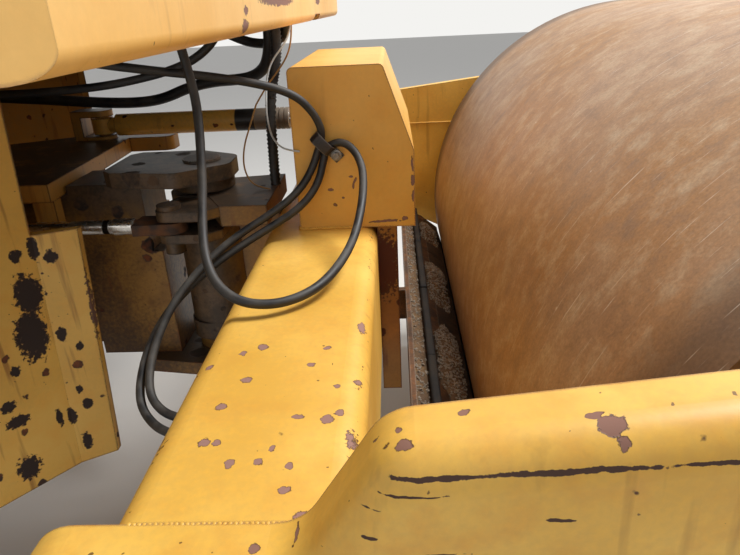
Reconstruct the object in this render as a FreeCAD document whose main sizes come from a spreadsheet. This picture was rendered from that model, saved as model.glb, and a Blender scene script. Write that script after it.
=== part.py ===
# Front drum module of a single-drum road roller: drum, drum frame, scraper, articulated hitch
# with its two steering cylinders and hoses, and the nose of the rear frame that carries them.
# Millimetres. X points forward from the nose's bolting face, Y to the left, Z up.
# Heights are from the hitch's roll axis, which is 900 above the ground.
import FreeCAD, Part
import Sketcher
import math
import os
import re
from FreeCAD import Vector

doc = FreeCAD.newDocument("drum_module")
sheet = doc.addObject("Spreadsheet::Sheet", "Sizes")
working = doc.addObject("Spreadsheet::Sheet", "Working")

# name, value in millimetres
SIZES = (
    # drum
    ("drum_radius", 750), ("drum_half", 1065), ("shell_thick", 30),
    ("axle_x", 2600), ("axle_z", -150),
    ("head_thick", 25), ("head_clear", 110), ("hub_radius", 120), ("hub_proud", 25),
    ("spindle_radius", 70), ("spindle_end_gap", 10), ("shaft_play", 0.08), ("exciter_radius", 150),
    # side rails of the drum frame
    ("rail_in", 1115), ("rail_thick", 80), ("extension_rear_x", 1290), ("rail_foot_x", 1577),
    ("rail_step_x", 1665), ("rail_step_top", 290), ("rail_top", 393), ("rail_crest_x", 3280),
    ("rail_front_x", 3620), ("rail_nose_top", 240), ("rail_nose_low", -140), ("rail_low", -390),
    ("rail_low_front_x", 3150), ("rail_low_rear_x", 2050), ("rail_low_start_x", 1650),
    ("rail_bend", 40), ("rail_corner", 55), ("motor_hole", 140),
    # cross beams
    ("cross_rear_x", 1375), ("cross_front_x", 1635), ("cross_top", 155), ("cross_low", -200),
    ("cross_bend", 35),
    ("nose_beam_x", 3400), ("nose_beam_deep", 160), ("nose_beam_top", 100), ("nose_beam_low", -130),
    ("nose_beam_bend", 30), ("tie_eye_y", 520), ("tie_eye_z", -15), ("tie_eye_thick", 25),
    ("tie_eye_radius", 25), ("tie_eye_reach", 105), ("tie_eye_half", 50),
    # box and post on the crossmember
    ("box_rear_x", 1458), ("box_top_front_x", 1660), ("box_front_x", 1724), ("box_shoulder_z", 330),
    ("box_top", 513), ("box_right", 220), ("box_left", 340), ("box_bend", 12),
    ("post_wide", 47), ("post_thick", 65), ("post_y", 215), ("post_low", -290),
    # tongue round the king pin
    ("king_x", 1182), ("king_radius", 40), ("knuckle_radius", 85), ("knuckle_half", 205),
    ("tongue_thick", 50), ("tongue_near", 180), ("tongue_far", 115), ("tongue_start_x", 1262),
    ("tongue_heel", 30), ("tongue_web", 50), ("tongue_round", 70),
    # clevis of the right steering cylinder, on the tongue
    ("clevis_gap", 32), ("clevis_top_thick", 24), ("clevis_low_thick", 22), ("clevis_radius", 32),
    ("clevis_back", 30), ("clevis_heel", 20), ("clevis_cut", 34), ("clevis_inner", 60),
    ("clevis_head", 28), ("clevis_head_thick", 12), ("clevis_nut", 24), ("clevis_nut_long", 30),
    # hitch casting with its two ears
    ("ear_low", 242), ("ear_thick", 38), ("ear_rear_x", 962), ("ear_near", 150), ("ear_rear_near", 120),
    ("ear_far", 112), ("ear_tip", 88), ("ear_tip_near", 62), ("ear_tip_far", 40), ("ear_cut", 25),
    ("ear_shoulder", 28), ("ear_round", 45),
    ("tower_rear_x", 640), ("tower_front_x", 1040), ("tower_half", 80), ("tower_foot", 28),
    ("tower_foot_top", 60), ("tower_gap", 5), ("washer_radius", 78), ("washer_gap", 5),
    ("cover_radius", 48), ("cover_thick", 5), ("king_base_radius", 60), ("king_base_thick", 24),
    # yoke
    ("yoke_rear_x", 380), ("yoke_back", 40), ("yoke_front_x", 845), ("yoke_far_front_x", 822),
    ("yoke_top", 265), ("yoke_plate", 45), ("yoke_low", -250), ("yoke_half", 260), ("yoke_near", 150),
    ("yoke_far", 380), ("yoke_shoulder_z", 150), ("yoke_low_front_x", 700), ("yoke_side_top", 120),
    ("arm_front_x", 960), ("arm_rear_x", 700), ("arm_near", 425), ("arm_far", 520), ("arm_round", 30),
    ("cheek_rear_x", 790), ("cheek_y", 140), ("cheek_thick", 35), ("cheek_low", 155),
    ("trunnion_radius", 95), ("trunnion_rear_x", 40), ("trunnion_flange", 160),
    ("trunnion_flange_thick", 25), ("trunnion_neck", 15),
    # steering cylinders
    ("right_pivot_x", 465), ("right_y", -180), ("right_z", 163), ("right_barrel_radius", 33),
    ("right_bore_radius", 26), ("right_barrel_long", 290), ("right_eye_x", 1142), ("right_rod_radius", 17),
    ("right_eye_half", 13), ("right_block_long", 84),
    ("left_pivot_x", 745), ("left_y", 430), ("left_z", 307), ("left_barrel_radius", 34),
    ("left_bore_radius", 27), ("left_barrel_long", 605), ("left_eye_x", 1655), ("left_rod_radius", 20),
    ("left_eye_half", 20), ("left_block_long", 60),
    ("eye_half", 25), ("eye_radius", 33), ("eye_gap", 5), ("lug_plate", 20), ("lug_half", 35),
    ("pin_radius", 20), ("pin_head", 30), ("pin_head_thick", 8),
    ("barrel_start", 48), ("barrel_cap", 10), ("barrel_neck", 24), ("gland_long", 22),
    ("groove_count", 4), ("groove_pitch", 16), ("groove_long", 5), ("groove_deep", 4),
    ("piston_long", 25), ("rod_eye_radius", 38), ("collar_back", 139), ("collar_long", 47), ("collar_proud", 3),
    ("post_block_back", 85), ("post_block_long", 30),
    # bracket that holds the left cylinder's rod on the crossmember
    ("bracket_foot_x", 1490), ("bracket_foot_z", 200), ("bracket_round", 42), ("bracket_front", 29),
    ("bracket_far", 80), ("bracket_web", 20), ("bracket_drop", 37),
    # nose of the rear frame
    ("bulkhead_thick", 25), ("nose_half", 960), ("nose_low", -400), ("wing_thick", 20),
    ("wing_bend_x", 390), ("wing_tip_x", 869), ("wing_tip_y", 354), ("wing_lean", 42),
    ("strip_tip_x", 944), ("strip_tip_y", 309), ("strip_top", 200), ("strip_lean_x", 27), ("strip_lean_y", 16),
    ("left_wing_top", 90), ("left_wing_cut_y", 720),
    ("housing_radius", 150), ("housing_flange", 215), ("housing_flange_thick", 30), ("housing_taper", 30),
    ("housing_front_x", 330), ("housing_hole_gap", 10), ("bolt_radius", 13),
    ("bolt_wide", 1700), ("bolt_tall", 700), ("inner_bolt_wide", 640), ("inner_bolt_tall", 560),
    # front edge of the operator's deck
    ("deck_edge_x", 1466), ("deck_low", 590), ("deck_top", 765), ("deck_overhang", 280),
    ("deck_thick", 10), ("deck_fold", 12), ("deck_lip", 90), ("deck_bend", 20),
    ("deck_mitre_x", 50), ("deck_mitre_y", 75),
    ("relief_near", 5), ("relief_far", 135), ("relief_tall", 17),
    # scraper
    ("blade_gap", 8), ("blade_tip_z", -300), ("shelf_rear_z", -215), ("shelf_step", 20),
    ("scraper_side_gap", 75), ("scraper_plate", 12), ("scraper_rear_x", 1700), ("scraper_web", 110),
    ("shelf_front_x", 1795), ("shelf_front_z", -258), ("blade_count", 5), ("blade_joint", 6),
    ("stay_thick", 20), ("stay_inset", 100),
    # mounting of the drum in its rails
    ("disc_radius", 280), ("disc_thick", 30), ("buffer_radius", 45), ("buffer_ring", 200),
    ("buffer_long", 70), ("buffer_count", 6), ("inner_disc_radius", 270), ("inner_disc_thick", 25),
    ("motor_radius", 120), ("motor_neck_radius", 84), ("motor_long", 125), ("motor_drum_long", 88),
    # hoses, their clamp on the box and their end fittings
    ("hose_radius", 8.5), ("clamp_x", 1522), ("clamp_low", 322), ("clamp_size", 40), ("clamp_thick", 28),
    ("clamp_tab", 22), ("clamp_tab_tall", 18), ("clamp_tab_thick", 6), ("clamp_bolt", 7), ("clamp_bolt_head", 6),
    ("fitting_radius", 12), ("fitting_long", 30), ("fitting_nut", 17), ("fitting_nut_long", 12),
    ("fitting_rear_y", 645), ("fitting_front_y", 692), ("fitting_z", -60),
    ("union_loop_x", 1285), ("union_return_x", 963), ("union_y", 411),
)

values = {}
for row, (name, value) in enumerate(SIZES, 1):
    sheet.set(f"A{row}", name)
    sheet.set(f"B{row}", str(value))
    sheet.setAlias(f"B{row}", name)
    values[name] = value
doc.recompute()


def tied(text):
    # an expression in the sheet's names, as a feature reads it
    return re.sub(r"[a-z_]+", lambda word: f"Sizes.{word.group(0)}" if word.group(0) in values else word.group(0), text)


def numbers(texts):
    # what expressions come to, worked out on a sheet of their own
    for row, text in enumerate(texts, 1):
        working.set(f"A{row}", f"={tied(text)}")
    working.recompute()
    return [float(working.get(f"A{row}")) for row in range(1, len(texts) + 1)]


parts = []


def new_body(label, place=None):
    body = doc.addObject("PartDesign::Body", label)
    body.Label = label
    if place:
        for axis, text in zip("xyz", place):
            body.setExpression(f"Placement.Base.{axis}", tied(text))
    parts.append(body)
    return body


def new_sketch(body, plane, level):
    sketch = body.newObject("Sketcher::SketchObject", f"{body.Name}_sketch")
    role = f"{plane}_Plane"
    sketch.AttachmentSupport = [(next(f for f in body.Origin.OriginFeatures if f.Role == role), "")]
    sketch.MapMode = "FlatFace"
    sketch.setExpression("AttachmentOffset.Base.z", tied(f"-({level})" if plane == "XZ" else level))
    return sketch


def fix_point(sketch, geometry, spot, texts, found):
    # ties a point of the sketch to its two expressions
    for kind, text, value, axis in zip(("DistanceX", "DistanceY"), texts, found, (-2, -1)):
        if abs(value) < 1e-9:
            sketch.addConstraint(Sketcher.Constraint("PointOnObject", geometry, spot, axis))
        else:
            made = sketch.addConstraint(Sketcher.Constraint(kind, -1, 1, geometry, spot, value))
            sketch.setExpression(f"Constraints[{made}]", tied(text))


def outline(body, plane, rows, level="0"):
    # a closed outline whose rows are the two coordinates of each corner
    sketch = new_sketch(body, plane, level)
    across = numbers([row[0] for row in rows])
    up = numbers([row[1] for row in rows])
    corners = [Vector(a, b, 0) for a, b in zip(across, up)]
    count = len(corners)
    for i in range(count):
        sketch.addGeometry(Part.LineSegment(corners[i], corners[(i + 1) % count]), False)
    for i in range(count):
        sketch.addConstraint(Sketcher.Constraint("Coincident", i, 2, (i + 1) % count, 1))
    for i, texts in enumerate(rows):
        fix_point(sketch, i, 1, texts, (across[i], up[i]))
    return sketch


def rings(body, plane, centres, radius, level="0"):
    sketch = new_sketch(body, plane, level)
    size = numbers([radius])[0]
    for i, texts in enumerate(centres):
        found = numbers(list(texts))
        sketch.addGeometry(Part.Circle(Vector(found[0], found[1], 0), Vector(0, 0, 1), size), False)
        fix_point(sketch, i, 3, texts, found)
        made = sketch.addConstraint(Sketcher.Constraint("Radius", i, size))
        sketch.setExpression(f"Constraints[{made}]", tied(radius))
    return sketch


def rectangle(left, low, right, high):
    return ((left, low), (right, low), (right, high), (left, high))


def pad(body, plane, sketch, length):
    # grows from the sketch's level towards plus
    made = body.newObject("PartDesign::Pad", f"{body.Name}_pad")
    made.Profile = sketch
    made.Reversed = plane == "XZ"
    made.setExpression("Length", tied(length))
    doc.recompute()
    return made


def pocket(body, plane, sketch, length):
    # cuts from the sketch's level towards plus
    before = body.Shape.Volume
    made = body.newObject("PartDesign::Pocket", f"{body.Name}_pocket")
    made.Profile = sketch
    made.Reversed = plane != "XZ"
    made.setExpression("Length", tied(length))
    doc.recompute()
    if body.Shape.Volume > before - 1:
        raise RuntimeError(f"{body.Label}: a pocket cuts nothing")
    return made


def slab(body, plane, rows, level, length):
    return pad(body, plane, outline(body, plane, rows, level), length)


def disc(body, plane, centre, radius, level, length):
    return pad(body, plane, rings(body, plane, [centre], radius, level), length)


def turned(body, rows, plane="XY", axis="H_Axis"):
    # a full turn about one of the sketch's axes
    sketch = outline(body, plane, rows)
    made = body.newObject("PartDesign::Revolution", f"{body.Name}_turned")
    made.Profile = sketch
    made.ReferenceAxis = (sketch, [axis])
    made.Angle = 360
    doc.recompute()
    return made


def lofted(body, low_rows, low, top_rows, top):
    # an upright plate whose plan changes from its foot to its top
    foot = outline(body, "XY", low_rows, low)
    head = outline(body, "XY", top_rows, top)
    made = body.newObject("PartDesign::AdditiveLoft", f"{body.Name}_loft")
    made.Profile = foot
    made.Sections = [head]
    made.Ruled = True
    doc.recompute()
    return made


def fillet(body, along, spots, radius):
    # rounds the edges that run along an axis through the given pairs of coordinates
    others = [axis for axis in "xyz" if axis != along]
    flat = numbers([text for spot in spots for text in spot])
    wanted = list(zip(flat[0::2], flat[1::2]))
    names = []
    for number, edge in enumerate(body.Shape.Edges, 1):
        if edge.Curve.TypeId != "Part::GeomLine":
            continue
        if abs(getattr(edge.Curve.Direction, along)) < 0.999:
            continue
        point = edge.Vertexes[0].Point
        here = [getattr(point, axis) for axis in others]
        if any(abs(here[0] - a) < 0.01 and abs(here[1] - b) < 0.01 for a, b in wanted):
            names.append(f"Edge{number}")
    return fillet_edges(body, names, radius)


def fillet_edges(body, names, radius):
    base = body.Tip
    if not names:
        raise RuntimeError(f"{body.Label}: no edge to round")
    made = body.newObject("PartDesign::Fillet", f"{body.Name}_fillet")
    made.Base = (base, names)
    made.setExpression("Radius", tied(radius))
    doc.recompute()
    return made


def mirrored(source, label):
    made = doc.addObject("Part::Mirroring", label)
    made.Label = label
    made.Source = source
    made.Normal = Vector(0, 1, 0)
    made.Base = Vector(0, 0, 0)
    parts.append(made)
    return made


# Drum: shell, two heads with hubs, and the exciter as one block on the axle
AXLE = ("axle_x", "0", "axle_z")
DISC_IN = "(rail_in - disc_thick)"
BUFFER_IN = f"({DISC_IN} - buffer_long)"
HEAD_OUT = f"({BUFFER_IN} - inner_disc_thick - head_clear - hub_proud)"
HEAD_IN = f"({HEAD_OUT} - head_thick)"
SPINDLE_IN = f"({HEAD_IN} - hub_proud + spindle_end_gap)"
BORE = "(spindle_radius + shaft_play)"

shell = new_body("drum_shell", AXLE)
turned(shell, rectangle("drum_radius - shell_thick", "-drum_half", "drum_radius", "drum_half"), axis="V_Axis")

head = new_body("drum_head_right", AXLE)
turned(head, (
    (BORE, f"-({HEAD_OUT} + hub_proud)"), ("hub_radius", f"-({HEAD_OUT} + hub_proud)"),
    ("hub_radius", f"-{HEAD_OUT}"), ("drum_radius - shell_thick", f"-{HEAD_OUT}"),
    ("drum_radius - shell_thick", f"-{HEAD_IN}"), ("hub_radius", f"-{HEAD_IN}"),
    ("hub_radius", f"-({HEAD_IN} - hub_proud)"), (BORE, f"-({HEAD_IN} - hub_proud)"),
), axis="V_Axis")
mirrored(head, "drum_head_left")

exciter = new_body("exciter", AXLE)
turned(exciter, rectangle("0", f"-({HEAD_IN} - hub_proud)", "exciter_radius", f"{HEAD_IN} - hub_proud"), axis="V_Axis")

# Drum mounting: disc on the rail, rubber buffers, inner disc with the spindle, motor outside
outer_disc = new_body("drum_disc_right", AXLE)
turned(outer_disc, rectangle("0", "-rail_in", "disc_radius", f"-{DISC_IN}"), axis="V_Axis")
mirrored(outer_disc, "drum_disc_left")

buffers = new_body("drum_buffers_right", AXLE)
turn = 360 / values["buffer_count"]
spots = [(f"buffer_ring * cos({turn * i} deg)", f"buffer_ring * sin({turn * i} deg)")
         for i in range(values["buffer_count"])]
pad(buffers, "XZ", rings(buffers, "XZ", spots, "buffer_radius", f"-{DISC_IN}"), "buffer_long")
mirrored(buffers, "drum_buffers_left")

spindle = new_body("drum_spindle_right", AXLE)
turned(spindle, (
    ("0", f"-{BUFFER_IN}"), ("inner_disc_radius", f"-{BUFFER_IN}"),
    ("inner_disc_radius", f"-({BUFFER_IN} - inner_disc_thick)"),
    ("spindle_radius", f"-({BUFFER_IN} - inner_disc_thick)"), ("spindle_radius", f"-{SPINDLE_IN}"),
    ("0", f"-{SPINDLE_IN}"),
), axis="V_Axis")
mirrored(spindle, "drum_spindle_left")

motor = new_body("travel_motor", AXLE)
turned(motor, (
    ("0", "-rail_in"), ("motor_radius", "-rail_in"), ("motor_radius", "-(rail_in + motor_drum_long)"),
    ("motor_neck_radius", "-(rail_in + motor_long)"), ("0", "-(rail_in + motor_long)"),
), axis="V_Axis")
mirrored(motor, "vibration_motor")

# Side rails: deep plates with a soft bend on the outer top edge and a hole for the motor
RAIL_OUT = "(rail_in + rail_thick)"
rail = new_body("side_rail_right")
RAIL_CORNERS = (
    ("extension_rear_x", "cross_low"), ("rail_low_start_x", "cross_low"), ("rail_low_rear_x", "rail_low"),
    ("rail_low_front_x", "rail_low"), ("rail_front_x", "rail_nose_low"), ("rail_front_x", "rail_nose_top"),
    ("rail_crest_x", "rail_top"), ("axle_x", "rail_top"), ("rail_step_x", "rail_step_top"),
    ("rail_foot_x", "cross_top"), ("extension_rear_x", "cross_top"),
)
slab(rail, "XZ", RAIL_CORNERS, f"-{RAIL_OUT}", "rail_thick")
fillet(rail, "y", RAIL_CORNERS, "rail_corner")
outer_edge = [f"Edge{number}" for number, edge in enumerate(rail.Shape.Edges, 1)
              if all(abs(vertex.Y + values["rail_in"] + values["rail_thick"]) < 0.01 for vertex in edge.Vertexes)]
fillet_edges(rail, outer_edge, "rail_bend")
pocket(rail, "XZ", rings(rail, "XZ", [("axle_x", "axle_z")], "motor_hole", f"-{RAIL_OUT}"), "rail_thick")
mirrored(rail, "side_rail_left")

# Crossmember behind the drum, and the beam in front of it with two tie-down eyes
cross = new_body("crossmember")
slab(cross, "XZ", rectangle("cross_rear_x", "cross_low", "cross_front_x", "cross_top"), "-rail_in", "2 * rail_in")
fillet(cross, "y", [(x, z) for x in ("cross_rear_x", "cross_front_x") for z in ("cross_low", "cross_top")], "cross_bend")

beam = new_body("nose_beam")
BEAM_FRONT = "(nose_beam_x + nose_beam_deep)"
EYE_X = f"({BEAM_FRONT} + tie_eye_reach)"
slab(beam, "XZ", rectangle("nose_beam_x", "nose_beam_low", BEAM_FRONT, "nose_beam_top"), "-rail_in", "2 * rail_in")
fillet(beam, "y", [(x, z) for x in ("nose_beam_x", BEAM_FRONT) for z in ("nose_beam_low", "nose_beam_top")],
       "nose_beam_bend")
for side in ("-", ""):
    near = f"{side}tie_eye_y - tie_eye_thick / 2"
    slab(beam, "XZ", rectangle(BEAM_FRONT, "tie_eye_z - tie_eye_half", EYE_X, "tie_eye_z + tie_eye_half"),
         near, "tie_eye_thick")
    disc(beam, "XZ", (EYE_X, "tie_eye_z"), "tie_eye_half", near, "tie_eye_thick")
    pocket(beam, "XZ", rings(beam, "XZ", [(EYE_X, "tie_eye_z")], "tie_eye_radius", near), "tie_eye_thick")

# Box that stands on the crossmember, and the post plate under its overhang
box = new_body("hitch_box")
slab(box, "XZ", (
    ("box_rear_x", "cross_top"), ("box_front_x", "cross_top"), ("box_front_x", "box_shoulder_z"),
    ("box_top_front_x", "box_top"), ("box_rear_x", "box_top"),
), "-box_right", "box_right + box_left")
fillet(box, "y", [("box_rear_x", "box_top"), ("box_top_front_x", "box_top"), ("box_front_x", "box_shoulder_z")],
       "box_bend")

post = new_body("post_plate")
slab(post, "XY", rectangle("cross_front_x", "-post_y", "cross_front_x + post_wide", "-(post_y - post_thick)"),
     "post_low", "cross_top - post_low")

# Tongue: two plates, a web and a knuckle round the king pin
tongue = new_body("tongue")
PLATE_LOW = "(knuckle_half - tongue_thick)"
KNUCKLE_REAR = "(king_x - knuckle_radius)"
disc(tongue, "XY", ("king_x", "0"), "knuckle_radius", "-knuckle_half", "2 * knuckle_half")
for low in (PLATE_LOW, "-knuckle_half"):
    slab(tongue, "XY", (
        ("cross_rear_x", "tongue_far"), ("king_x", "knuckle_radius"), (KNUCKLE_REAR, "knuckle_radius"),
        (KNUCKLE_REAR, "-knuckle_radius"), ("king_x + tongue_heel", "-knuckle_radius"),
        ("tongue_start_x", "-tongue_near"), ("cross_rear_x", "-tongue_near"),
    ), low, "tongue_thick")
fillet(tongue, "z", [(KNUCKLE_REAR, "knuckle_radius"), (KNUCKLE_REAR, "-knuckle_radius")], "tongue_round")
slab(tongue, "XY", rectangle("king_x", "-tongue_web / 2", "cross_rear_x", "tongue_web / 2"),
     f"-{PLATE_LOW}", f"2 * {PLATE_LOW}")

# Clevis of the right cylinder: two plates beside the knuckle, with the pin's head and nut
CLEVIS_TOP = "(right_z + clevis_gap / 2)"
CLEVIS_LOW = "(right_z - clevis_gap / 2 - clevis_low_thick)"
RIGHT_EYE = ("right_eye_x", "right_y")
for low, thick in ((CLEVIS_TOP, "clevis_top_thick"), (CLEVIS_LOW, "clevis_low_thick")):
    slab(tongue, "XY", (
        ("king_x", "0"), ("right_eye_x - clevis_radius + clevis_heel", "-knuckle_radius"),
        ("right_eye_x - clevis_radius", "right_y + clevis_back"), ("right_eye_x - clevis_radius", "right_y"),
        ("right_eye_x", "right_y - clevis_radius"), ("tongue_start_x - clevis_cut", "right_y - clevis_radius"),
        ("tongue_start_x", "-tongue_near"), ("tongue_start_x", "-clevis_inner"),
    ), low, thick)
    disc(tongue, "XY", RIGHT_EYE, "clevis_radius", low, thick)
disc(tongue, "XY", RIGHT_EYE, "clevis_head", f"{CLEVIS_TOP} + clevis_top_thick", "clevis_head_thick")
disc(tongue, "XY", RIGHT_EYE, "clevis_nut", f"{CLEVIS_LOW} - clevis_nut_long", "clevis_nut_long")
pocket(tongue, "XY", rings(tongue, "XY", [("king_x", "0")], "king_radius + shaft_play", "-knuckle_half"),
       "2 * knuckle_half")

# Bracket of the left cylinder's rod: two webs on the crossmember and two plates round the eye
lug = new_body("left_cylinder_lug")
LEFT_EYE = ("left_eye_x", "left_y")
LUG_LOW = "(left_z - left_eye_half - eye_gap - lug_plate)"
LUG_TOP = "(left_z + left_eye_half + eye_gap + lug_plate)"
LUG_REAR = "(left_eye_x - bracket_round)"
LUG_FRONT = "(left_eye_x + bracket_front)"
LUG_NEAR = "(left_y - bracket_round)"
LUG_FAR = "(left_y + bracket_far)"
for near, high in ((f"{LUG_FAR} - bracket_web", LUG_TOP), (LUG_NEAR, LUG_LOW)):
    rows = [
        ("bracket_foot_x", "cross_top"), ("cross_front_x - cross_bend", "cross_top"),
        (LUG_FRONT, f"{LUG_LOW} - bracket_drop"), (LUG_FRONT, high), (LUG_REAR, high),
        (LUG_REAR, LUG_LOW), ("bracket_foot_x", "bracket_foot_z"),
    ]
    if high == LUG_LOW:
        rows.pop(4)
    slab(lug, "XZ", rows, near, "bracket_web")
for low in (LUG_LOW, f"{LUG_TOP} - lug_plate"):
    slab(lug, "XY", (
        ("left_eye_x", LUG_NEAR), (LUG_FRONT, LUG_NEAR), (LUG_FRONT, LUG_FAR), (LUG_REAR, LUG_FAR),
        (LUG_REAR, "left_y"),
    ), low, "lug_plate")
    disc(lug, "XY", LEFT_EYE, "bracket_round", low, "lug_plate")
disc(lug, "XY", LEFT_EYE, "pin_head", LUG_TOP, "pin_head_thick")

# Scraper behind the drum: angle beam on three stays, sloping shelf and five blades
scraper = new_body("scraper_beam")
SCRAPER_HALF = "(rail_in - scraper_side_gap)"
SHELF_TOP = "(shelf_rear_z + shelf_step)"
slab(scraper, "XZ", rectangle("scraper_rear_x", "shelf_rear_z", "scraper_rear_x + scraper_plate",
                              "shelf_rear_z + scraper_web"), f"-{SCRAPER_HALF}", f"2 * {SCRAPER_HALF}")
for place in (f"-{SCRAPER_HALF} + stay_inset", "-stay_thick / 2", f"{SCRAPER_HALF} - stay_inset - stay_thick"):
    slab(scraper, "XZ", rectangle("cross_front_x", SHELF_TOP, "scraper_rear_x", "shelf_rear_z + scraper_web"),
         place, "stay_thick")

shelf = new_body("scraper_shelf")
LIP = ("shelf_front_x", "shelf_front_z + shelf_step")
LIP_UNDER = ("shelf_front_x", "shelf_front_z + shelf_step - scraper_plate")
slab(shelf, "XZ", (
    ("scraper_rear_x + scraper_plate", SHELF_TOP), LIP, LIP_UNDER,
    ("scraper_rear_x + scraper_plate", f"{SHELF_TOP} - scraper_plate"),
), f"-{SCRAPER_HALF}", f"2 * {SCRAPER_HALF}")

blades = new_body("scraper_blades")
TIP_X = "(axle_x - sqrt(drum_radius ^ 2 - (blade_tip_z - axle_z) ^ 2) - blade_gap)"
BLADE_PITCH = f"(2 * {SCRAPER_HALF} / blade_count)"
for i in range(values["blade_count"]):
    slab(blades, "XZ", (LIP, (TIP_X, "blade_tip_z + scraper_plate"), (TIP_X, "blade_tip_z"), LIP_UNDER),
         f"-{SCRAPER_HALF} + {i} * {BLADE_PITCH}", f"{BLADE_PITCH} - blade_joint")

# Yoke: thick plates round the hitch casting, with a long arm under the left cylinder
yoke = new_body("yoke_frame")
YOKE_IN = "(yoke_rear_x + yoke_back)"
PLATE_UNDER = "(yoke_top - yoke_plate)"
FLOOR_TOP = "(yoke_low + yoke_plate)"
slab(yoke, "YZ", (
    ("-yoke_half", "yoke_low"), ("yoke_half", "yoke_low"), ("yoke_far", "yoke_shoulder_z"),
    ("yoke_far", "yoke_top"), ("-yoke_half", "yoke_top"),
), "yoke_rear_x", "yoke_back")
slab(yoke, "XY", (
    (YOKE_IN, "-yoke_near"), ("yoke_front_x", "-yoke_near"), ("yoke_far_front_x", "arm_near"),
    ("arm_front_x", "arm_near"), ("arm_front_x", "arm_far"), ("arm_rear_x", "arm_far"), (YOKE_IN, "yoke_far"),
), PLATE_UNDER, "yoke_plate")
fillet(yoke, "z", [("arm_front_x", "arm_near"), ("arm_front_x", "arm_far")], "arm_round")
slab(yoke, "XY", rectangle(YOKE_IN, "-yoke_half", "yoke_low_front_x", "yoke_half"), "yoke_low", "yoke_plate")
for near, high in (("-yoke_half", "yoke_side_top"), ("yoke_half - yoke_plate", PLATE_UNDER)):
    slab(yoke, "XZ", rectangle(YOKE_IN, FLOOR_TOP, "yoke_low_front_x", high), near, "yoke_plate")
slab(yoke, "XY", rectangle("cheek_rear_x", "-cheek_y", "yoke_front_x", "-(cheek_y - cheek_thick)"),
     "cheek_low", f"{PLATE_UNDER} - cheek_low")

# Lugs of the two barrels on the yoke: the right pair on its back plate, the left pair on a block
slab(yoke, "XY", rectangle("left_pivot_x - post_block_back", "left_y - lug_half",
                           "left_pivot_x - post_block_back + post_block_long", "left_y + lug_half"),
     "yoke_top", "left_z + eye_half + eye_gap + lug_plate - yoke_top")
for side, start in (("right", YOKE_IN), ("left", "(left_pivot_x - post_block_back)")):
    pivot = (f"{side}_pivot_x", f"{side}_y")
    for low in (f"{side}_z - eye_half - eye_gap - lug_plate", f"{side}_z + eye_half + eye_gap"):
        slab(yoke, "XY", rectangle(start, f"{side}_y - lug_half", pivot[0], f"{side}_y + lug_half"), low, "lug_plate")
        disc(yoke, "XY", pivot, "lug_half", low, "lug_plate")
    disc(yoke, "XY", pivot, "pin_radius", f"{side}_z - eye_half - eye_gap", "2 * eye_half + 2 * eye_gap")

# Hitch casting: a tower between the yoke's plates, and two ears that hold the king pin
casting = new_body("hitch_casting")
EAR_TOP = "(ear_low + ear_thick)"
slab(casting, "XY", rectangle("tower_rear_x", "-tower_half", "tower_front_x", "tower_half"),
     FLOOR_TOP, f"{PLATE_UNDER} - {FLOOR_TOP}")
slab(casting, "XY", rectangle("yoke_front_x + tower_gap", "-tower_half", "tower_front_x", "tower_half"),
     "-ear_low", "2 * ear_low")
slab(casting, "XY", rectangle("tower_front_x", "-tower_half", "tower_front_x + tower_foot", "tower_half"),
     "-ear_low", "ear_low + tower_foot_top")
for low, washer in (("ear_low", "knuckle_half + washer_gap"), (f"-{EAR_TOP}", "-ear_low")):
    slab(casting, "XY", (
        ("ear_rear_x", "-(ear_rear_near - ear_cut)"), ("ear_rear_x + ear_cut", "-ear_rear_near"),
        ("king_x - ear_shoulder", "-ear_near"), ("king_x + ear_tip", "-ear_tip_near"),
        ("king_x + ear_tip", "ear_tip_far"), ("king_x - ear_shoulder", "ear_far"),
        ("ear_rear_x + ear_cut", "ear_far"), ("ear_rear_x", "ear_far - ear_cut"),
    ), low, "ear_thick")
    disc(casting, "XY", ("king_x", "0"), "washer_radius", washer, "ear_low - knuckle_half - washer_gap")
fillet(casting, "z", [("king_x - ear_shoulder", "-ear_near"), ("king_x + ear_tip", "-ear_tip_near"),
                      ("king_x + ear_tip", "ear_tip_far"), ("king_x - ear_shoulder", "ear_far")], "ear_round")
pocket(casting, "XY", rings(casting, "XY", [("king_x", "0")], "king_radius + shaft_play", f"-{EAR_TOP}"), f"2 * {EAR_TOP}")

pin = new_body("king_pin", ("king_x", "0", "0"))
turned(pin, (
    ("0", f"-({EAR_TOP} + king_base_thick)"), ("king_base_radius", f"-({EAR_TOP} + king_base_thick)"),
    ("king_base_radius", f"-{EAR_TOP}"), ("king_radius", f"-{EAR_TOP}"), ("king_radius", EAR_TOP),
    ("cover_radius", EAR_TOP), ("cover_radius", f"{EAR_TOP} + cover_thick"), ("0", f"{EAR_TOP} + cover_thick"),
), plane="XZ", axis="V_Axis")

trunnion = new_body("trunnion")
FLANGE_REAR = "(yoke_rear_x - trunnion_flange_thick)"
turned(trunnion, (
    ("trunnion_rear_x", "0"), ("yoke_rear_x", "0"), ("yoke_rear_x", "trunnion_flange"),
    (FLANGE_REAR, "trunnion_flange"), (f"{FLANGE_REAR} - trunnion_neck", "trunnion_radius"),
    ("trunnion_rear_x", "trunnion_radius"),
))

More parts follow.
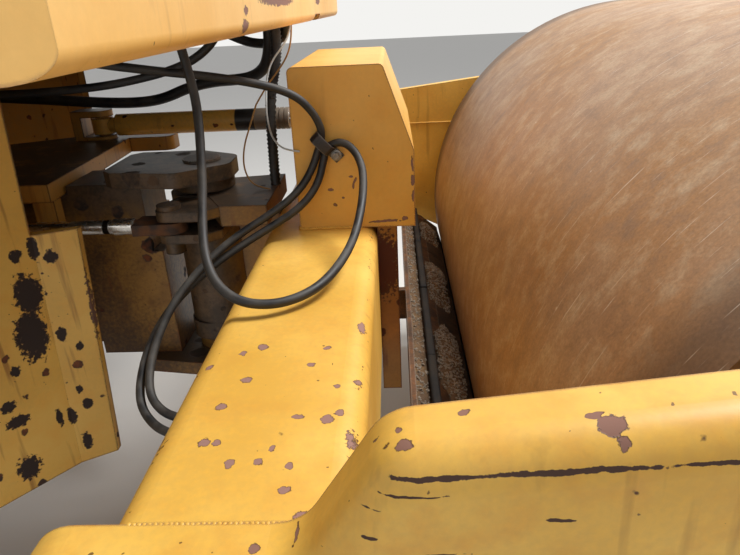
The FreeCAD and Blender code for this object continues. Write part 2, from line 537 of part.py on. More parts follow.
# Steering cylinders: barrel with its gland, and piston, rod and eye as one piece
# side, grooves round the barrel's end, whether the rod has a collar
CYLINDERS = (("right", 0, True), ("left", values["groove_count"], False))
BORE_START = "(barrel_start + barrel_cap)"
for side, grooves, collared in CYLINDERS:
    place = (f"{side}_pivot_x", f"{side}_y", f"{side}_z")
    wide, bore, long, rod, eye, block = (
        f"{side}_{word}" for word in ("barrel_radius", "bore_radius", "barrel_long", "rod_radius", "eye_half", "block_long"))
    barrel = new_body(f"{side}_barrel", place)
    rows = [("0", "0"), ("0", "barrel_neck"), ("barrel_start", "barrel_neck"), ("barrel_start", wide)]
    for i in range(grooves):
        start = f"{long} - {grooves - i} * groove_pitch"
        rows += [(start, wide), (start, f"{wide} - groove_deep"),
                 (f"{start} + groove_long", f"{wide} - groove_deep"), (f"{start} + groove_long", wide)]
    rows += [
        (long, wide), (long, f"{rod} + shaft_play"), (f"{long} - gland_long", f"{rod} + shaft_play"),
        (f"{long} - gland_long", bore), (BORE_START, bore), (BORE_START, "0"),
    ]
    turned(barrel, rows)
    disc(barrel, "XY", ("0", "0"), "eye_radius", "-eye_half", "2 * eye_half")
    pocket(barrel, "XY", rings(barrel, "XY", [("0", "0")], "pin_radius + shaft_play", "-eye_half"), "2 * eye_half")

    piston = new_body(f"{side}_rod", place)
    reach = f"({side}_eye_x - {side}_pivot_x)"
    face = f"(({BORE_START} + {long} - gland_long - piston_long) / 2)"
    rows = [("0", f"{bore} - shaft_play"), ("piston_long", f"{bore} - shaft_play"), ("piston_long", rod)]
    rows = [(face, "0")] + [(f"{face} + {along}", out) for along, out in rows]
    if collared:
        collar = f"{reach} - collar_back"
        rows += [(collar, rod), (collar, f"{rod} + collar_proud"),
                 (f"{collar} + collar_long", f"{rod} + collar_proud"), (f"{collar} + collar_long", rod)]
    rows += [(f"{reach} - {block}", rod), (f"{reach} - {block}", "0")]
    turned(piston, rows)
    slab(piston, "XY", rectangle(f"{reach} - {block}", "-rod_eye_radius", reach, "rod_eye_radius"), f"-{eye}", f"2 * {eye}")
    disc(piston, "XY", (reach, "0"), "rod_eye_radius", f"-{eye}", f"2 * {eye}")
    pocket(piston, "XY", rings(piston, "XY", [(reach, "0")], "pin_radius", f"-{eye}"), f"2 * {eye}")

# Nose of the rear frame: bulkhead, bearing housing and two folded wings
bulkhead = new_body("bulkhead")
BEAM_UNDER = "(deck_top - deck_thick)"
slab(bulkhead, "YZ", rectangle("-nose_half", "nose_low", "nose_half", BEAM_UNDER), "0", "bulkhead_thick")
bolts = [(f"{a}{wide} / 2", f"{b}{tall} / 2") for wide, tall in (("bolt_wide", "bolt_tall"), ("inner_bolt_wide", "inner_bolt_tall"))
         for a in ("-", "") for b in ("-", "")]
pocket(bulkhead, "YZ", rings(bulkhead, "YZ", bolts, "bolt_radius"), "bulkhead_thick")
pocket(bulkhead, "YZ", rings(bulkhead, "YZ", [("0", "0")], "trunnion_radius + housing_hole_gap"), "bulkhead_thick")

housing = new_body("bearing_housing")
HOUSING_BORE = "(trunnion_radius + shaft_play)"
FLANGE_FRONT = "(bulkhead_thick + housing_flange_thick)"
turned(housing, (
    ("bulkhead_thick", HOUSING_BORE), ("bulkhead_thick", "housing_flange"), (FLANGE_FRONT, "housing_flange"),
    (f"{FLANGE_FRONT} + housing_taper", "housing_radius"), ("housing_front_x", "housing_radius"),
    ("housing_front_x", HOUSING_BORE),
))

SLANT = "sqrt((wing_tip_x - wing_bend_x) ^ 2 + (nose_half - wing_tip_y) ^ 2)"
SKEW = f"(wing_thick * {SLANT} / (nose_half - wing_tip_y))"
LEAN = "((wing_tip_x - wing_bend_x) / (nose_half - wing_tip_y))"


def wing_rows(side, tip_y):
    # plan of one wing, from the bulkhead round its bend to the given side distance
    tip_x = f"(wing_bend_x + (nose_half - {tip_y}) * {LEAN})"
    return (
        ("bulkhead_thick", f"{side}nose_half"), ("wing_bend_x", f"{side}nose_half"), (tip_x, f"{side}{tip_y}"),
        (f"{tip_x} - {SKEW}", f"{side}{tip_y}"),
        (f"wing_bend_x - {SKEW} + wing_thick * {LEAN}", f"{side}(nose_half - wing_thick)"),
        ("bulkhead_thick", f"{side}(nose_half - wing_thick)"),
    )


def strip_rows(side, root_y, tip_x, tip_y):
    # plan of the strip along the wing's free edge
    root_x = f"(wing_bend_x + (nose_half - {root_y}) * {LEAN})"
    return (
        (f"{root_x} - {SKEW}", f"{side}{root_y}"), (root_x, f"{side}{root_y}"), (tip_x, f"{side}{tip_y}"),
        (tip_x, f"{side}({tip_y} - wing_thick)"), (f"{root_x} - {SKEW}", f"{side}({root_y} - wing_thick)"),
    )


# side, label, height up to which the wing reaches its free edge, height of the strip
WINGS = (("-", "wing_right", BEAM_UNDER, "strip_top"), ("", "wing_left", "left_wing_top", "left_wing_top"))
for side, label, wing_top, strip_top in WINGS:
    wing = new_body(label)
    top_share = f"({wing_top} - nose_low) / ({BEAM_UNDER} - nose_low)"
    edge_y = f"(wing_tip_y - wing_lean * {top_share})"
    lofted(wing, wing_rows(side, "wing_tip_y"), "nose_low", wing_rows(side, edge_y), wing_top)
    root_share = f"({strip_top} - nose_low) / ({BEAM_UNDER} - nose_low)"
    strip_share = f"({strip_top} - nose_low) / (strip_top - nose_low)"
    lofted(wing, strip_rows(side, "wing_tip_y", "strip_tip_x", "strip_tip_y"), "nose_low",
           strip_rows(side, f"(wing_tip_y - wing_lean * {root_share})", f"(strip_tip_x + strip_lean_x * {strip_share})",
                      f"(strip_tip_y - strip_lean_y * {strip_share})"), strip_top)
slab(wing, "XY", wing_rows("", "left_wing_cut_y"), "left_wing_top", f"{BEAM_UNDER} - left_wing_top")

# Deck: folded front beam with mitred corners that clear the drum at full lock, and the plate behind it
DECK_HALF = "(nose_half + deck_overhang)"
DECK_BACK = "(deck_edge_x - deck_fold)"
STRAIGHT_HALF = f"({DECK_HALF} - deck_mitre_y)"


def deck_front(edge):
    # plan of the front edge from the right end to the left one
    corner = f"({edge} - deck_mitre_x)"
    return ((corner, f"-{DECK_HALF}"), (edge, f"-{STRAIGHT_HALF}"), (edge, STRAIGHT_HALF), (corner, DECK_HALF))


LIP_REAR = "(deck_edge_x - deck_lip)"
deck_beam = new_body("deck_beam")
slab(deck_beam, "XY", deck_front("deck_edge_x") + tuple(reversed(deck_front(DECK_BACK))), "deck_low", "deck_top - deck_low")
slab(deck_beam, "XY", deck_front("deck_edge_x") + ((LIP_REAR, DECK_HALF), (LIP_REAR, f"-{DECK_HALF}")),
     "deck_low", "deck_fold")
fillet(deck_beam, "y", [("deck_edge_x", "deck_low")], "deck_bend")
# relief in the lip, over the box's far corner at full lock
pocket(deck_beam, "YZ", outline(deck_beam, "YZ", rectangle("box_left + relief_near", "deck_low", "box_left + relief_far",
                                                           "deck_low + relief_tall"), LIP_REAR), "deck_lip")
deck = new_body("deck_plate")
slab(deck, "XY", (("0", f"-{DECK_HALF}"),) + deck_front(DECK_BACK) + (("0", DECK_HALF),), BEAM_UNDER, "deck_thick")

# Hose clamp with its bolt on the box, and the hoses' fittings on the crossmember
clamp = new_body("hose_clamp")
CLAMP_FRONT = "(clamp_x + clamp_size)"
slab(clamp, "XZ", rectangle("clamp_x", "clamp_low", CLAMP_FRONT, "clamp_low + clamp_size"),
     "-(box_right + clamp_thick)", "clamp_thick")
slab(clamp, "XZ", rectangle(CLAMP_FRONT, "clamp_low", f"{CLAMP_FRONT} + clamp_tab", "clamp_low + clamp_tab_tall"),
     "-(box_right + clamp_tab_thick)", "clamp_tab_thick")
disc(clamp, "XZ", (f"{CLAMP_FRONT} + clamp_tab / 2", "clamp_low + clamp_tab_tall / 2"), "clamp_bolt",
     "-(box_right + clamp_tab_thick + clamp_bolt_head)", "clamp_bolt_head")
fittings = [("-fitting_rear_y", "fitting_z"), ("-fitting_front_y", "fitting_z")]
for radius, length in (("fitting_radius", "fitting_long"), ("fitting_nut", "fitting_nut_long")):
    pad(clamp, "YZ", rings(clamp, "YZ", fittings, radius, f"cross_rear_x - {length}"), length)

# Unions under the deck plate
unions = new_body("hose_unions")
places = [("union_loop_x", "-union_y"), ("union_return_x", "-union_y")]
for radius, length in (("fitting_radius", "fitting_long"), ("fitting_nut", "fitting_nut_long")):
    pad(unions, "XY", rings(unions, "XY", places, radius, f"{BEAM_UNDER} - {length}"), length)

# Hoses, as routes of X, Y, Z from one end to the other
ROUTES = {
    "hose_loop_lower": (
        (1562, -234, 352), (1586, -234, 352), (1605, -246, 347), (1615, -271, 333), (1618, -306, 311),
        (1616, -352, 283), (1609, -410, 252), (1597, -470, 223), (1579, -532, 199), (1551, -590, 183),
        (1515, -632, 176), (1469, -658, 175), (1418, -662, 183), (1376, -641, 204), (1350, -601, 237),
        (1338, -551, 284), (1334, -498, 348), (1330, -466, 406),
    ),
    "hose_loop_upper": (
        (1330, -466, 406), (1326, -434, 464), (1315, -420, 529), (1302, -413, 592), (1291, -411, 650),
        (1285, -411, 695), (1285, -411, 725),
    ),
    "hose_return_lower": (
        (1532, -234, 362), (1532, -234, 384), (1525, -241, 409), (1509, -250, 433), (1484, -260, 457),
        (1449, -271, 476), (1403, -284, 491), (1350, -300, 504), (1290, -318, 516), (1222, -341, 528),
        (1150, -366, 543),
    ),
    "hose_return_upper": (
        (1150, -366, 543), (1081, -390, 558), (1025, -403, 586), (986, -410, 632), (963, -411, 690),
        (963, -411, 725),
    ),
    "hose_drop_rear": (
        (1532, -234, 322), (1532, -234, 300), (1520, -244, 277), (1494, -258, 254), (1458, -272, 234),
        (1405, -290, 213), (1346, -318, 187), (1292, -356, 154), (1246, -398, 115), (1208, -445, 70),
        (1186, -494, 20), (1181, -542, -22), (1195, -588, -48), (1228, -622, -60), (1268, -643, -61),
        (1310, -645, -60), (1345, -645, -60),
    ),
    "hose_drop_front": (
        (1552, -234, 322), (1552, -234, 293), (1542, -246, 259), (1512, -264, 232), (1470, -278, 212),
        (1415, -292, 191), (1356, -315, 165), (1296, -344, 134), (1243, -380, 99), (1197, -427, 58),
        (1168, -481, 11), (1160, -536, -33), (1174, -594, -62), (1213, -640, -76), (1262, -676, -72),
        (1310, -692, -60), (1345, -692, -60),
    ),
}
# share of the shorter run that an arc takes at each end
BEND_SHARE = 0.45
LOSS_ALLOWED = 0.01
# gap between the two lengths of one hose that bend with different joints
HOSE_GAP = 0.5


def hose(label, route):
    # a tube along straight runs, joined by arcs as large as their runs allow
    points = [Vector(*point) for point in route]
    if label.endswith("_upper"):
        along = points[1] - points[0]
        points[0] = points[0] + along.normalize() * HOSE_GAP
    edges = []
    radii = []
    start = points[0]
    for before, corner, after in zip(points, points[1:], points[2:]):
        towards = corner - before
        away = after - corner
        trim = BEND_SHARE * min(towards.Length, away.Length)
        half = towards.getAngle(away) / 2
        radius = trim / math.tan(half)
        towards.normalize()
        away.normalize()
        first = corner - towards * trim
        last = corner + away * trim
        middle = corner + (away - towards).normalize() * (radius / math.cos(half) - radius)
        edges.append(Part.LineSegment(start, first).toShape())
        edges.append(Part.Arc(first, middle, last).toShape())
        radii.append(round(radius))
        start = last
    edges.append(Part.LineSegment(start, points[-1]).toShape())
    path = Part.Wire(edges)
    ring = Part.Wire(Part.Circle(points[0], points[1] - points[0], values["hose_radius"]).toShape())
    made = doc.addObject("Part::Feature", label)
    made.Label = label
    made.Shape = path.makePipeShell([ring], True, False)
    whole = math.pi * values["hose_radius"] ** 2 * path.Length
    if abs(made.Shape.Volume / whole - 1) > LOSS_ALLOWED:
        raise RuntimeError(f"{label}: the tube's volume isn't its section times its length")
    print(label, "length", round(path.Length), "radii", radii)
    parts.append(made)


for label, route in ROUTES.items():
    hose(label, route)

doc.removeObject("Working")
doc.recompute()
for item in doc.Objects:
    if any(state in ("Invalid", "Error") for state in item.State):
        raise RuntimeError(f"{item.Name} failed: {item.State}")
for part in parts:
    if part.Shape.isNull() or not part.Shape.isValid():
        raise RuntimeError(f"{part.Label} has no valid shape")

os.makedirs("parts", exist_ok=True)
for part in parts:
    part.Shape.exportStep(f"parts/{part.Label}.step")
    print(part.Label, len(part.Shape.Solids), round(part.Shape.Volume / 1e6, 1), "litres")
print(len(parts), "nodes")
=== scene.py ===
import bpy
import math
import random
from mathutils import Matrix, Vector, noise


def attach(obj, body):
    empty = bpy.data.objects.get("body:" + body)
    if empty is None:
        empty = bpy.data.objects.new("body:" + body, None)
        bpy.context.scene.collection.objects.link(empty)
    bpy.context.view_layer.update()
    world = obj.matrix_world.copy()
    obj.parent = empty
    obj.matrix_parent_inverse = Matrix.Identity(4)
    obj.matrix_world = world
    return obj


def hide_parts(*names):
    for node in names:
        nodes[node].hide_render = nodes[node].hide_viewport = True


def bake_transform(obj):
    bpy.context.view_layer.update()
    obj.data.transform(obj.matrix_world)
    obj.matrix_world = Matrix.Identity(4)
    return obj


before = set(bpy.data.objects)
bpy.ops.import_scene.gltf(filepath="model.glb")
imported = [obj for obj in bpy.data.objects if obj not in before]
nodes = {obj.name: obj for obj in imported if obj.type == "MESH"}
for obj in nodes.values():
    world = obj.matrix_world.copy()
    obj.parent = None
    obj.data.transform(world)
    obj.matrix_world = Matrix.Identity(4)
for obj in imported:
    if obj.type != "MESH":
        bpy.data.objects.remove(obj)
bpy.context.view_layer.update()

# camera: the photograph's place and lens, found from the drum's rim and the frame's edges
view = {"lens": 30.31, "place": (1.6804, -1.585, 0.6265), "right": (0.9986, 0.0294, -0.0450),
        "up": (0.0294, 0.4030, 0.9151), "back": (0.0450, -0.9147, 0.4009)}
cameraData = bpy.data.cameras.new("camera")
cameraData.lens = view["lens"]
cameraData.sensor_width = 36
cameraData.clip_start = 0.02
camera = bpy.data.objects.new("camera", cameraData)
bpy.context.scene.collection.objects.link(camera)
turn = Matrix((view["right"], view["up"], view["back"])).transposed().to_4x4()
turn.translation = view["place"]
camera.matrix_world = turn
bpy.context.scene.camera = camera
print("camera set")


def linear(code):
    # sRGB hex to a linear colour
    parts = [int(code[i:i + 2], 16) / 255 for i in (1, 3, 5)]
    return tuple(c / 12.92 if c <= 0.04045 else ((c + 0.055) / 1.055) ** 2.4 for c in parts) + (1.0,)


def addNode(tree, kind, settings=None, inputs=None, out=0):
    # one shader node with its settings, and its inputs linked or set
    made = tree.nodes.new("ShaderNode" + kind)
    for key, value in (settings or {}).items():
        setattr(made, key, value)
    for key, value in (inputs or {}).items():
        if isinstance(value, bpy.types.NodeSocket):
            tree.links.new(value, made.inputs[key])
        else:
            made.inputs[key].default_value = value
    return made.outputs[out]


def startFinish(name):
    # new material, its nodes, its shader and the piece's own coordinates
    material = bpy.data.materials.new(name)
    material.use_nodes = True
    tree = material.node_tree
    return material, tree, tree.nodes["Principled BSDF"], addNode(tree, "TexCoord", out=3)


def markDistance(tree, place, marks):
    # how far a point lies from the nearest listed mark, 1 at its edge; sizes in mm
    nearest = None
    for x, y, z, hx, hy, hz, tilt, swing in marks:
        local = addNode(tree, "Mapping", {"vector_type": "TEXTURE"}, {
            "Vector": place, "Location": (x / 1000, y / 1000, z / 1000),
            "Rotation": (0, math.radians(tilt), math.radians(swing)),
            "Scale": (hx / 1000, hy / 1000, hz / 1000)})
        far = addNode(tree, "VectorMath", {"operation": "LENGTH"}, {0: local}, out=1)
        nearest = far if nearest is None else addNode(
            tree, "Math", {"operation": "MINIMUM"}, {0: nearest, 1: far})
    return nearest


def paintedSteel(name, look):
    # Sprayed enamel on welded steel plate: satin, bleached in clouds, chipped to a purple-brown primer
    # with dark rims, most of all along edges, with dust and rust runs.
    say = {"base": "#F0B640", "bleached": "#F9CB66", "mottle": "#E39A34", "dust": "#B4935A", "chip": "#86604F",
           "rust": "#7A4220", "rim": "#4B2E17", "chipCell": 55, "chipSize": 0.075, "chipShare": 0.3,
           "edge": 2.6, "round": 0.12, "dirt": 0.25, "runs": 0.3, "marks": [], "mark": "#8A675C",
           "mottling": 0.3, "rough": 0.45, "topDirt": 0.0, "soot": "#2B241E", "grease": None,
           "scrapes": [], "scrape": "#4A3226", "bands": []}
    say.update(look)
    material, tree, shader, place = startFinish(name)
    normal = addNode(tree, "NewGeometry", out=1)
    cloud = addNode(tree, "TexNoise", {}, {"Vector": place, "Scale": 1000 / 350, "Detail": 5.0})
    blotch = addNode(tree, "TexNoise", {}, {"Vector": place, "Scale": 1000 / 60, "Detail": 6.0, "Roughness": 0.6})
    grit = addNode(tree, "TexNoise", {}, {"Vector": place, "Scale": 1000 / 9, "Detail": 4.0, "Roughness": 0.6})
    faded = addNode(tree, "MapRange", {}, {0: cloud, 1: 0.35, 2: 0.65})
    colour = addNode(tree, "Mix", {"data_type": "RGBA"}, {0: faded, 6: linear(say["base"]),
                                                          7: linear(say["bleached"])}, out=2)
    mottled = addNode(tree, "MapRange", {}, {0: blotch, 1: 0.48, 2: 0.68, 4: say["mottling"]})
    colour = addNode(tree, "Mix", {"data_type": "RGBA"}, {0: mottled, 6: colour, 7: linear(say["mottle"])}, out=2)
    # dust in the clouds' other half, with grit of about 9 mm in it
    dusty = addNode(tree, "Math", {"operation": "MULTIPLY_ADD"}, {0: grit, 1: 0.5, 2: cloud})
    dusty = addNode(tree, "MapRange", {}, {0: dusty, 1: 0.85, 2: 0.60, 4: say["dirt"]})
    colour = addNode(tree, "Mix", {"data_type": "RGBA"}, {0: dusty, 6: colour, 7: linear(say["dust"])}, out=2)
    # rust runs down the upright faces: a pattern drawn long in Z
    tall = addNode(tree, "Mapping", {}, {"Vector": place, "Scale": (1, 1, 0.09)})
    runs = addNode(tree, "TexNoise", {}, {"Vector": tall, "Scale": 1000 / 22, "Detail": 3.0})
    runs = addNode(tree, "MapRange", {}, {0: runs, 1: 0.60, 2: 0.74, 4: say["runs"]})
    upright = addNode(tree, "VectorMath", {"operation": "MULTIPLY"}, {0: normal, 1: (1, 1, 0)})
    upright = addNode(tree, "VectorMath", {"operation": "LENGTH"}, {0: upright}, out=1)
    runs = addNode(tree, "Math", {"operation": "MULTIPLY"}, {0: runs, 1: upright})
    colour = addNode(tree, "Mix", {"data_type": "RGBA"}, {0: runs, 6: colour, 7: linear(say["rust"])}, out=2)
    # chips: one in some of the cells, each of its own size, with a ragged outline
    ragged = addNode(tree, "TexNoise", {}, {"Vector": place, "Scale": 1000 / 16, "Detail": 3.0}, out=1)
    ragged = addNode(tree, "VectorMath", {"operation": "SUBTRACT"}, {0: ragged, 1: (0.5, 0.5, 0.5)})
    warped = addNode(tree, "VectorMath", {"operation": "MULTIPLY_ADD"}, {0: ragged, 1: (0.016,) * 3, 2: place})
    cells = addNode(tree, "TexVoronoi", {}, {"Vector": warped, "Scale": 1000 / say["chipCell"]})
    chance = addNode(tree, "SeparateColor", {}, {0: cells.node.outputs["Color"]})
    size = addNode(tree, "MapRange", {}, {0: chance, 1: 1 - say["chipShare"], 2: 1.0, 4: say["chipSize"]})
    deep = addNode(tree, "Math", {"operation": "SUBTRACT"}, {0: size, 1: cells})
    chip = addNode(tree, "MapRange", {}, {0: deep, 1: 0.0, 2: 0.02})
    rim = addNode(tree, "MapRange", {}, {0: deep, 1: -0.035, 2: 0.0})
    hasChip = addNode(tree, "MapRange", {}, {0: size, 1: 0.0, 2: 0.02})
    rim = addNode(tree, "Math", {"operation": "MULTIPLY"}, {0: rim, 1: hasChip})
    # small specks of about 3 mm
    dots = addNode(tree, "TexVoronoi", {}, {"Vector": warped, "Scale": 1000 / 17})
    dotChance = addNode(tree, "SeparateColor", {}, {0: dots.node.outputs["Color"]})
    dotSize = addNode(tree, "MapRange", {}, {0: dotChance, 1: 0.72, 2: 1.0, 4: 0.15})
    dot = addNode(tree, "Math", {"operation": "SUBTRACT"}, {0: dotSize, 1: dots})
    dot = addNode(tree, "MapRange", {}, {0: dot, 1: 0.0, 2: 0.03, 4: 0.8})
    rim = addNode(tree, "Math", {"operation": "MAXIMUM"}, {0: rim, 1: dot})
    # wear along sharp edges (the bevelled normal turns there) and on rounded ones (the normal leans)
    soft = addNode(tree, "Bevel", {"samples": 4}, {"Radius": 0.007})
    along = addNode(tree, "VectorMath", {"operation": "DOT_PRODUCT"}, {0: soft, 1: normal}, out=1)
    bent = addNode(tree, "Math", {"operation": "SUBTRACT"}, {0: 1.0, 1: along})
    lean = addNode(tree, "VectorMath", {"operation": "ABSOLUTE"}, {0: normal})
    lean = addNode(tree, "SeparateXYZ", {}, {0: lean})
    widest = addNode(tree, "Math", {"operation": "MAXIMUM"}, {0: lean, 1: lean.node.outputs[1]})
    widest = addNode(tree, "Math", {"operation": "MAXIMUM"}, {0: widest, 1: lean.node.outputs[2]})
    lean = addNode(tree, "Math", {"operation": "SUBTRACT"}, {0: 1.0, 1: widest})
    lean = addNode(tree, "Math", {"operation": "MULTIPLY"}, {0: lean, 1: say["round"]})
    bent = addNode(tree, "Math", {"operation": "MAXIMUM"}, {0: bent, 1: lean})
    worn = addNode(tree, "Math", {"operation": "MULTIPLY_ADD"}, {0: bent, 1: say["edge"], 2: grit})
    worn = addNode(tree, "Math", {"operation": "MULTIPLY_ADD"}, {0: blotch, 1: 0.6, 2: worn})
    wornRim = addNode(tree, "MapRange", {}, {0: worn, 1: 1.12, 2: 1.18})
    worn = addNode(tree, "MapRange", {}, {0: worn, 1: 1.20, 2: 1.25})
    chip = addNode(tree, "Math", {"operation": "MAXIMUM"}, {0: chip, 1: worn})
    rim = addNode(tree, "Math", {"operation": "MAXIMUM"}, {0: rim, 1: wornRim})
    colour = addNode(tree, "Mix", {"data_type": "RGBA"}, {0: rim, 6: colour, 7: linear(say["rim"])}, out=2)
    primer = addNode(tree, "MapRange", {}, {0: blotch, 1: 0.45, 2: 0.6})
    primer = addNode(tree, "Mix", {"data_type": "RGBA"}, {0: primer, 6: linear(say["chip"]),
                                                          7: linear(say["rust"])}, out=2)
    colour = addNode(tree, "Mix", {"data_type": "RGBA"}, {0: chip, 6: colour, 7: primer}, out=2)
    for x0, x1, shade in say["bands"]:
        # a turned band of its own colour between two places along X
        at = addNode(tree, "SeparateXYZ", {}, {0: place})
        at = addNode(tree, "Math", {"operation": "SUBTRACT"}, {0: at, 1: (x0 + x1) / 2})
        at = addNode(tree, "Math", {"operation": "ABSOLUTE"}, {0: at})
        at = addNode(tree, "MapRange", {}, {0: at, 1: (x1 - x0) / 2 + 0.002, 2: (x1 - x0) / 2 - 0.002})
        colour = addNode(tree, "Mix", {"data_type": "RGBA"}, {0: at, 6: colour, 7: linear(shade)}, out=2)
    for marks, shade, uneven in ((say["marks"], say["mark"], 0.009), (say["scrapes"], say["scrape"], 0.003)):
        if not marks:
            continue
        shifted = addNode(tree, "VectorMath", {"operation": "MULTIPLY_ADD"},
                          {0: ragged, 1: (uneven,) * 3, 2: place})
        nearest = markDistance(tree, shifted, marks)
        nearest = addNode(tree, "Math", {"operation": "MULTIPLY_ADD"}, {0: grit, 1: 1.5, 2: nearest})
        nearest = addNode(tree, "Math", {"operation": "MULTIPLY_ADD"}, {0: blotch, 1: 0.6, 2: nearest})
        ring = addNode(tree, "MapRange", {}, {0: nearest, 1: 2.06, 2: 1.94})
        core = addNode(tree, "MapRange", {}, {0: nearest, 1: 1.94, 2: 1.84})
        colour = addNode(tree, "Mix", {"data_type": "RGBA"}, {0: ring, 6: colour, 7: linear(say["rim"])}, out=2)
        colour = addNode(tree, "Mix", {"data_type": "RGBA"}, {0: core, 6: colour, 7: linear(shade)}, out=2)
        chip = addNode(tree, "Math", {"operation": "MAXIMUM"}, {0: chip, 1: core})
    if say["topDirt"] > 0:
        # soot and oil on what faces up
        up = addNode(tree, "SeparateXYZ", {}, {0: normal})
        up = addNode(tree, "MapRange", {}, {0: up.node.outputs[2], 1: 0.6, 2: 0.8})
        patchy = addNode(tree, "MapRange", {}, {0: blotch, 1: 0.30, 2: 0.46, 3: say["topDirt"] * 0.6,
                                                4: say["topDirt"]})
        up = addNode(tree, "Math", {"operation": "MULTIPLY"}, {0: up, 1: patchy})
        colour = addNode(tree, "Mix", {"data_type": "RGBA"}, {0: up, 6: colour, 7: linear(say["soot"])}, out=2)
    if say["grease"]:
        # black grease past a place along one direction, in ragged patches
        way, start, full = say["grease"]
        reach = addNode(tree, "VectorMath", {"operation": "DOT_PRODUCT"}, {0: place, 1: way}, out=1)
        reach = addNode(tree, "Math", {"operation": "MULTIPLY_ADD"}, {0: blotch, 1: 0.16, 2: reach})
        greasy = addNode(tree, "MapRange", {}, {0: reach, 1: start + 0.08, 2: full + 0.08, 4: 0.93})
        film = addNode(tree, "Math", {"operation": "MULTIPLY_ADD"}, {0: grit, 1: 0.35, 2: blotch})
        film = addNode(tree, "MapRange", {}, {0: film, 1: 0.60, 2: 0.80})
        film = addNode(tree, "Mix", {"data_type": "RGBA"}, {0: film, 6: linear("#332A22"),
                                                            7: linear("#5E4A36")}, out=2)
        colour = addNode(tree, "Mix", {"data_type": "RGBA"}, {0: greasy, 6: colour, 7: film}, out=2)
    rough = addNode(tree, "MapRange", {}, {0: chip, 3: say["rough"], 4: 0.8})
    high = addNode(tree, "Math", {"operation": "MULTIPLY_ADD"}, {0: grit, 1: 0.35, 2: 0.0})
    high = addNode(tree, "Math", {"operation": "SUBTRACT"}, {0: high, 1: chip})
    bump = addNode(tree, "Bump", {}, {"Strength": 0.5, "Distance": 0.0007, "Height": high})
    tree.links.new(colour, shader.inputs["Base Color"])
    tree.links.new(rough, shader.inputs["Roughness"])
    tree.links.new(bump, shader.inputs["Normal"])
    return material


def bareSteel(name, look):
    # Cast or cut steel left bare: rust in clouds, grease in the dark half, worn pale where it rubs.
    say = {"dark": "#35281D", "mid": "#5C4531", "rust": "#8E5A2C", "worn": "#8D8478", "grain": 5,
           "rough": 0.6, "metal": 0.25, "edge": 3.0, "rusty": 0.6, "bump": 0.001}
    say.update(look)
    material, tree, shader, place = startFinish(name)
    cloud = addNode(tree, "TexNoise", {}, {"Vector": place, "Scale": 1000 / 120, "Detail": 6.0, "Roughness": 0.6})
    grain = addNode(tree, "TexNoise", {}, {"Vector": place, "Scale": 1000 / say["grain"], "Detail": 5.0})
    patch = addNode(tree, "TexNoise", {}, {"Vector": place, "Scale": 1000 / 38, "Detail": 5.0, "Roughness": 0.65})
    shade = addNode(tree, "MapRange", {}, {0: cloud, 1: 0.36, 2: 0.62})
    colour = addNode(tree, "Mix", {"data_type": "RGBA"}, {0: shade, 6: linear(say["dark"]),
                                                          7: linear(say["mid"])}, out=2)
    rust = addNode(tree, "MapRange", {}, {0: patch, 1: 0.50, 2: 0.66, 4: say["rusty"]})
    colour = addNode(tree, "Mix", {"data_type": "RGBA"}, {0: rust, 6: colour, 7: linear(say["rust"])}, out=2)
    normal = addNode(tree, "NewGeometry", out=1)
    soft = addNode(tree, "Bevel", {"samples": 4}, {"Radius": 0.005})
    along = addNode(tree, "VectorMath", {"operation": "DOT_PRODUCT"}, {0: soft, 1: normal}, out=1)
    bent = addNode(tree, "Math", {"operation": "SUBTRACT"}, {0: 1.0, 1: along})
    worn = addNode(tree, "Math", {"operation": "MULTIPLY_ADD"}, {0: bent, 1: say["edge"], 2: patch})
    worn = addNode(tree, "MapRange", {}, {0: worn, 1: 0.66, 2: 0.80, 4: 0.8})
    colour = addNode(tree, "Mix", {"data_type": "RGBA"}, {0: worn, 6: colour, 7: linear(say["worn"])}, out=2)
    fine = addNode(tree, "MapRange", {}, {0: grain, 1: 0.3, 2: 0.7, 3: 0.72, 4: 1.2})
    colour = addNode(tree, "Mix", {"data_type": "RGBA", "blend_type": "MULTIPLY"}, {0: 1.0, 6: colour, 7: fine},
                     out=2)
    rough = addNode(tree, "MapRange", {}, {0: cloud, 1: 0.3, 2: 0.7, 3: say["rough"] - 0.18, 4: say["rough"] + 0.12})
    bump = addNode(tree, "Bump", {}, {"Strength": 0.6, "Distance": say["bump"], "Height": grain})
    shader.inputs["Metallic"].default_value = say["metal"]
    tree.links.new(colour, shader.inputs["Base Color"])
    tree.links.new(rough, shader.inputs["Roughness"])
    tree.links.new(bump, shader.inputs["Normal"])
    return material


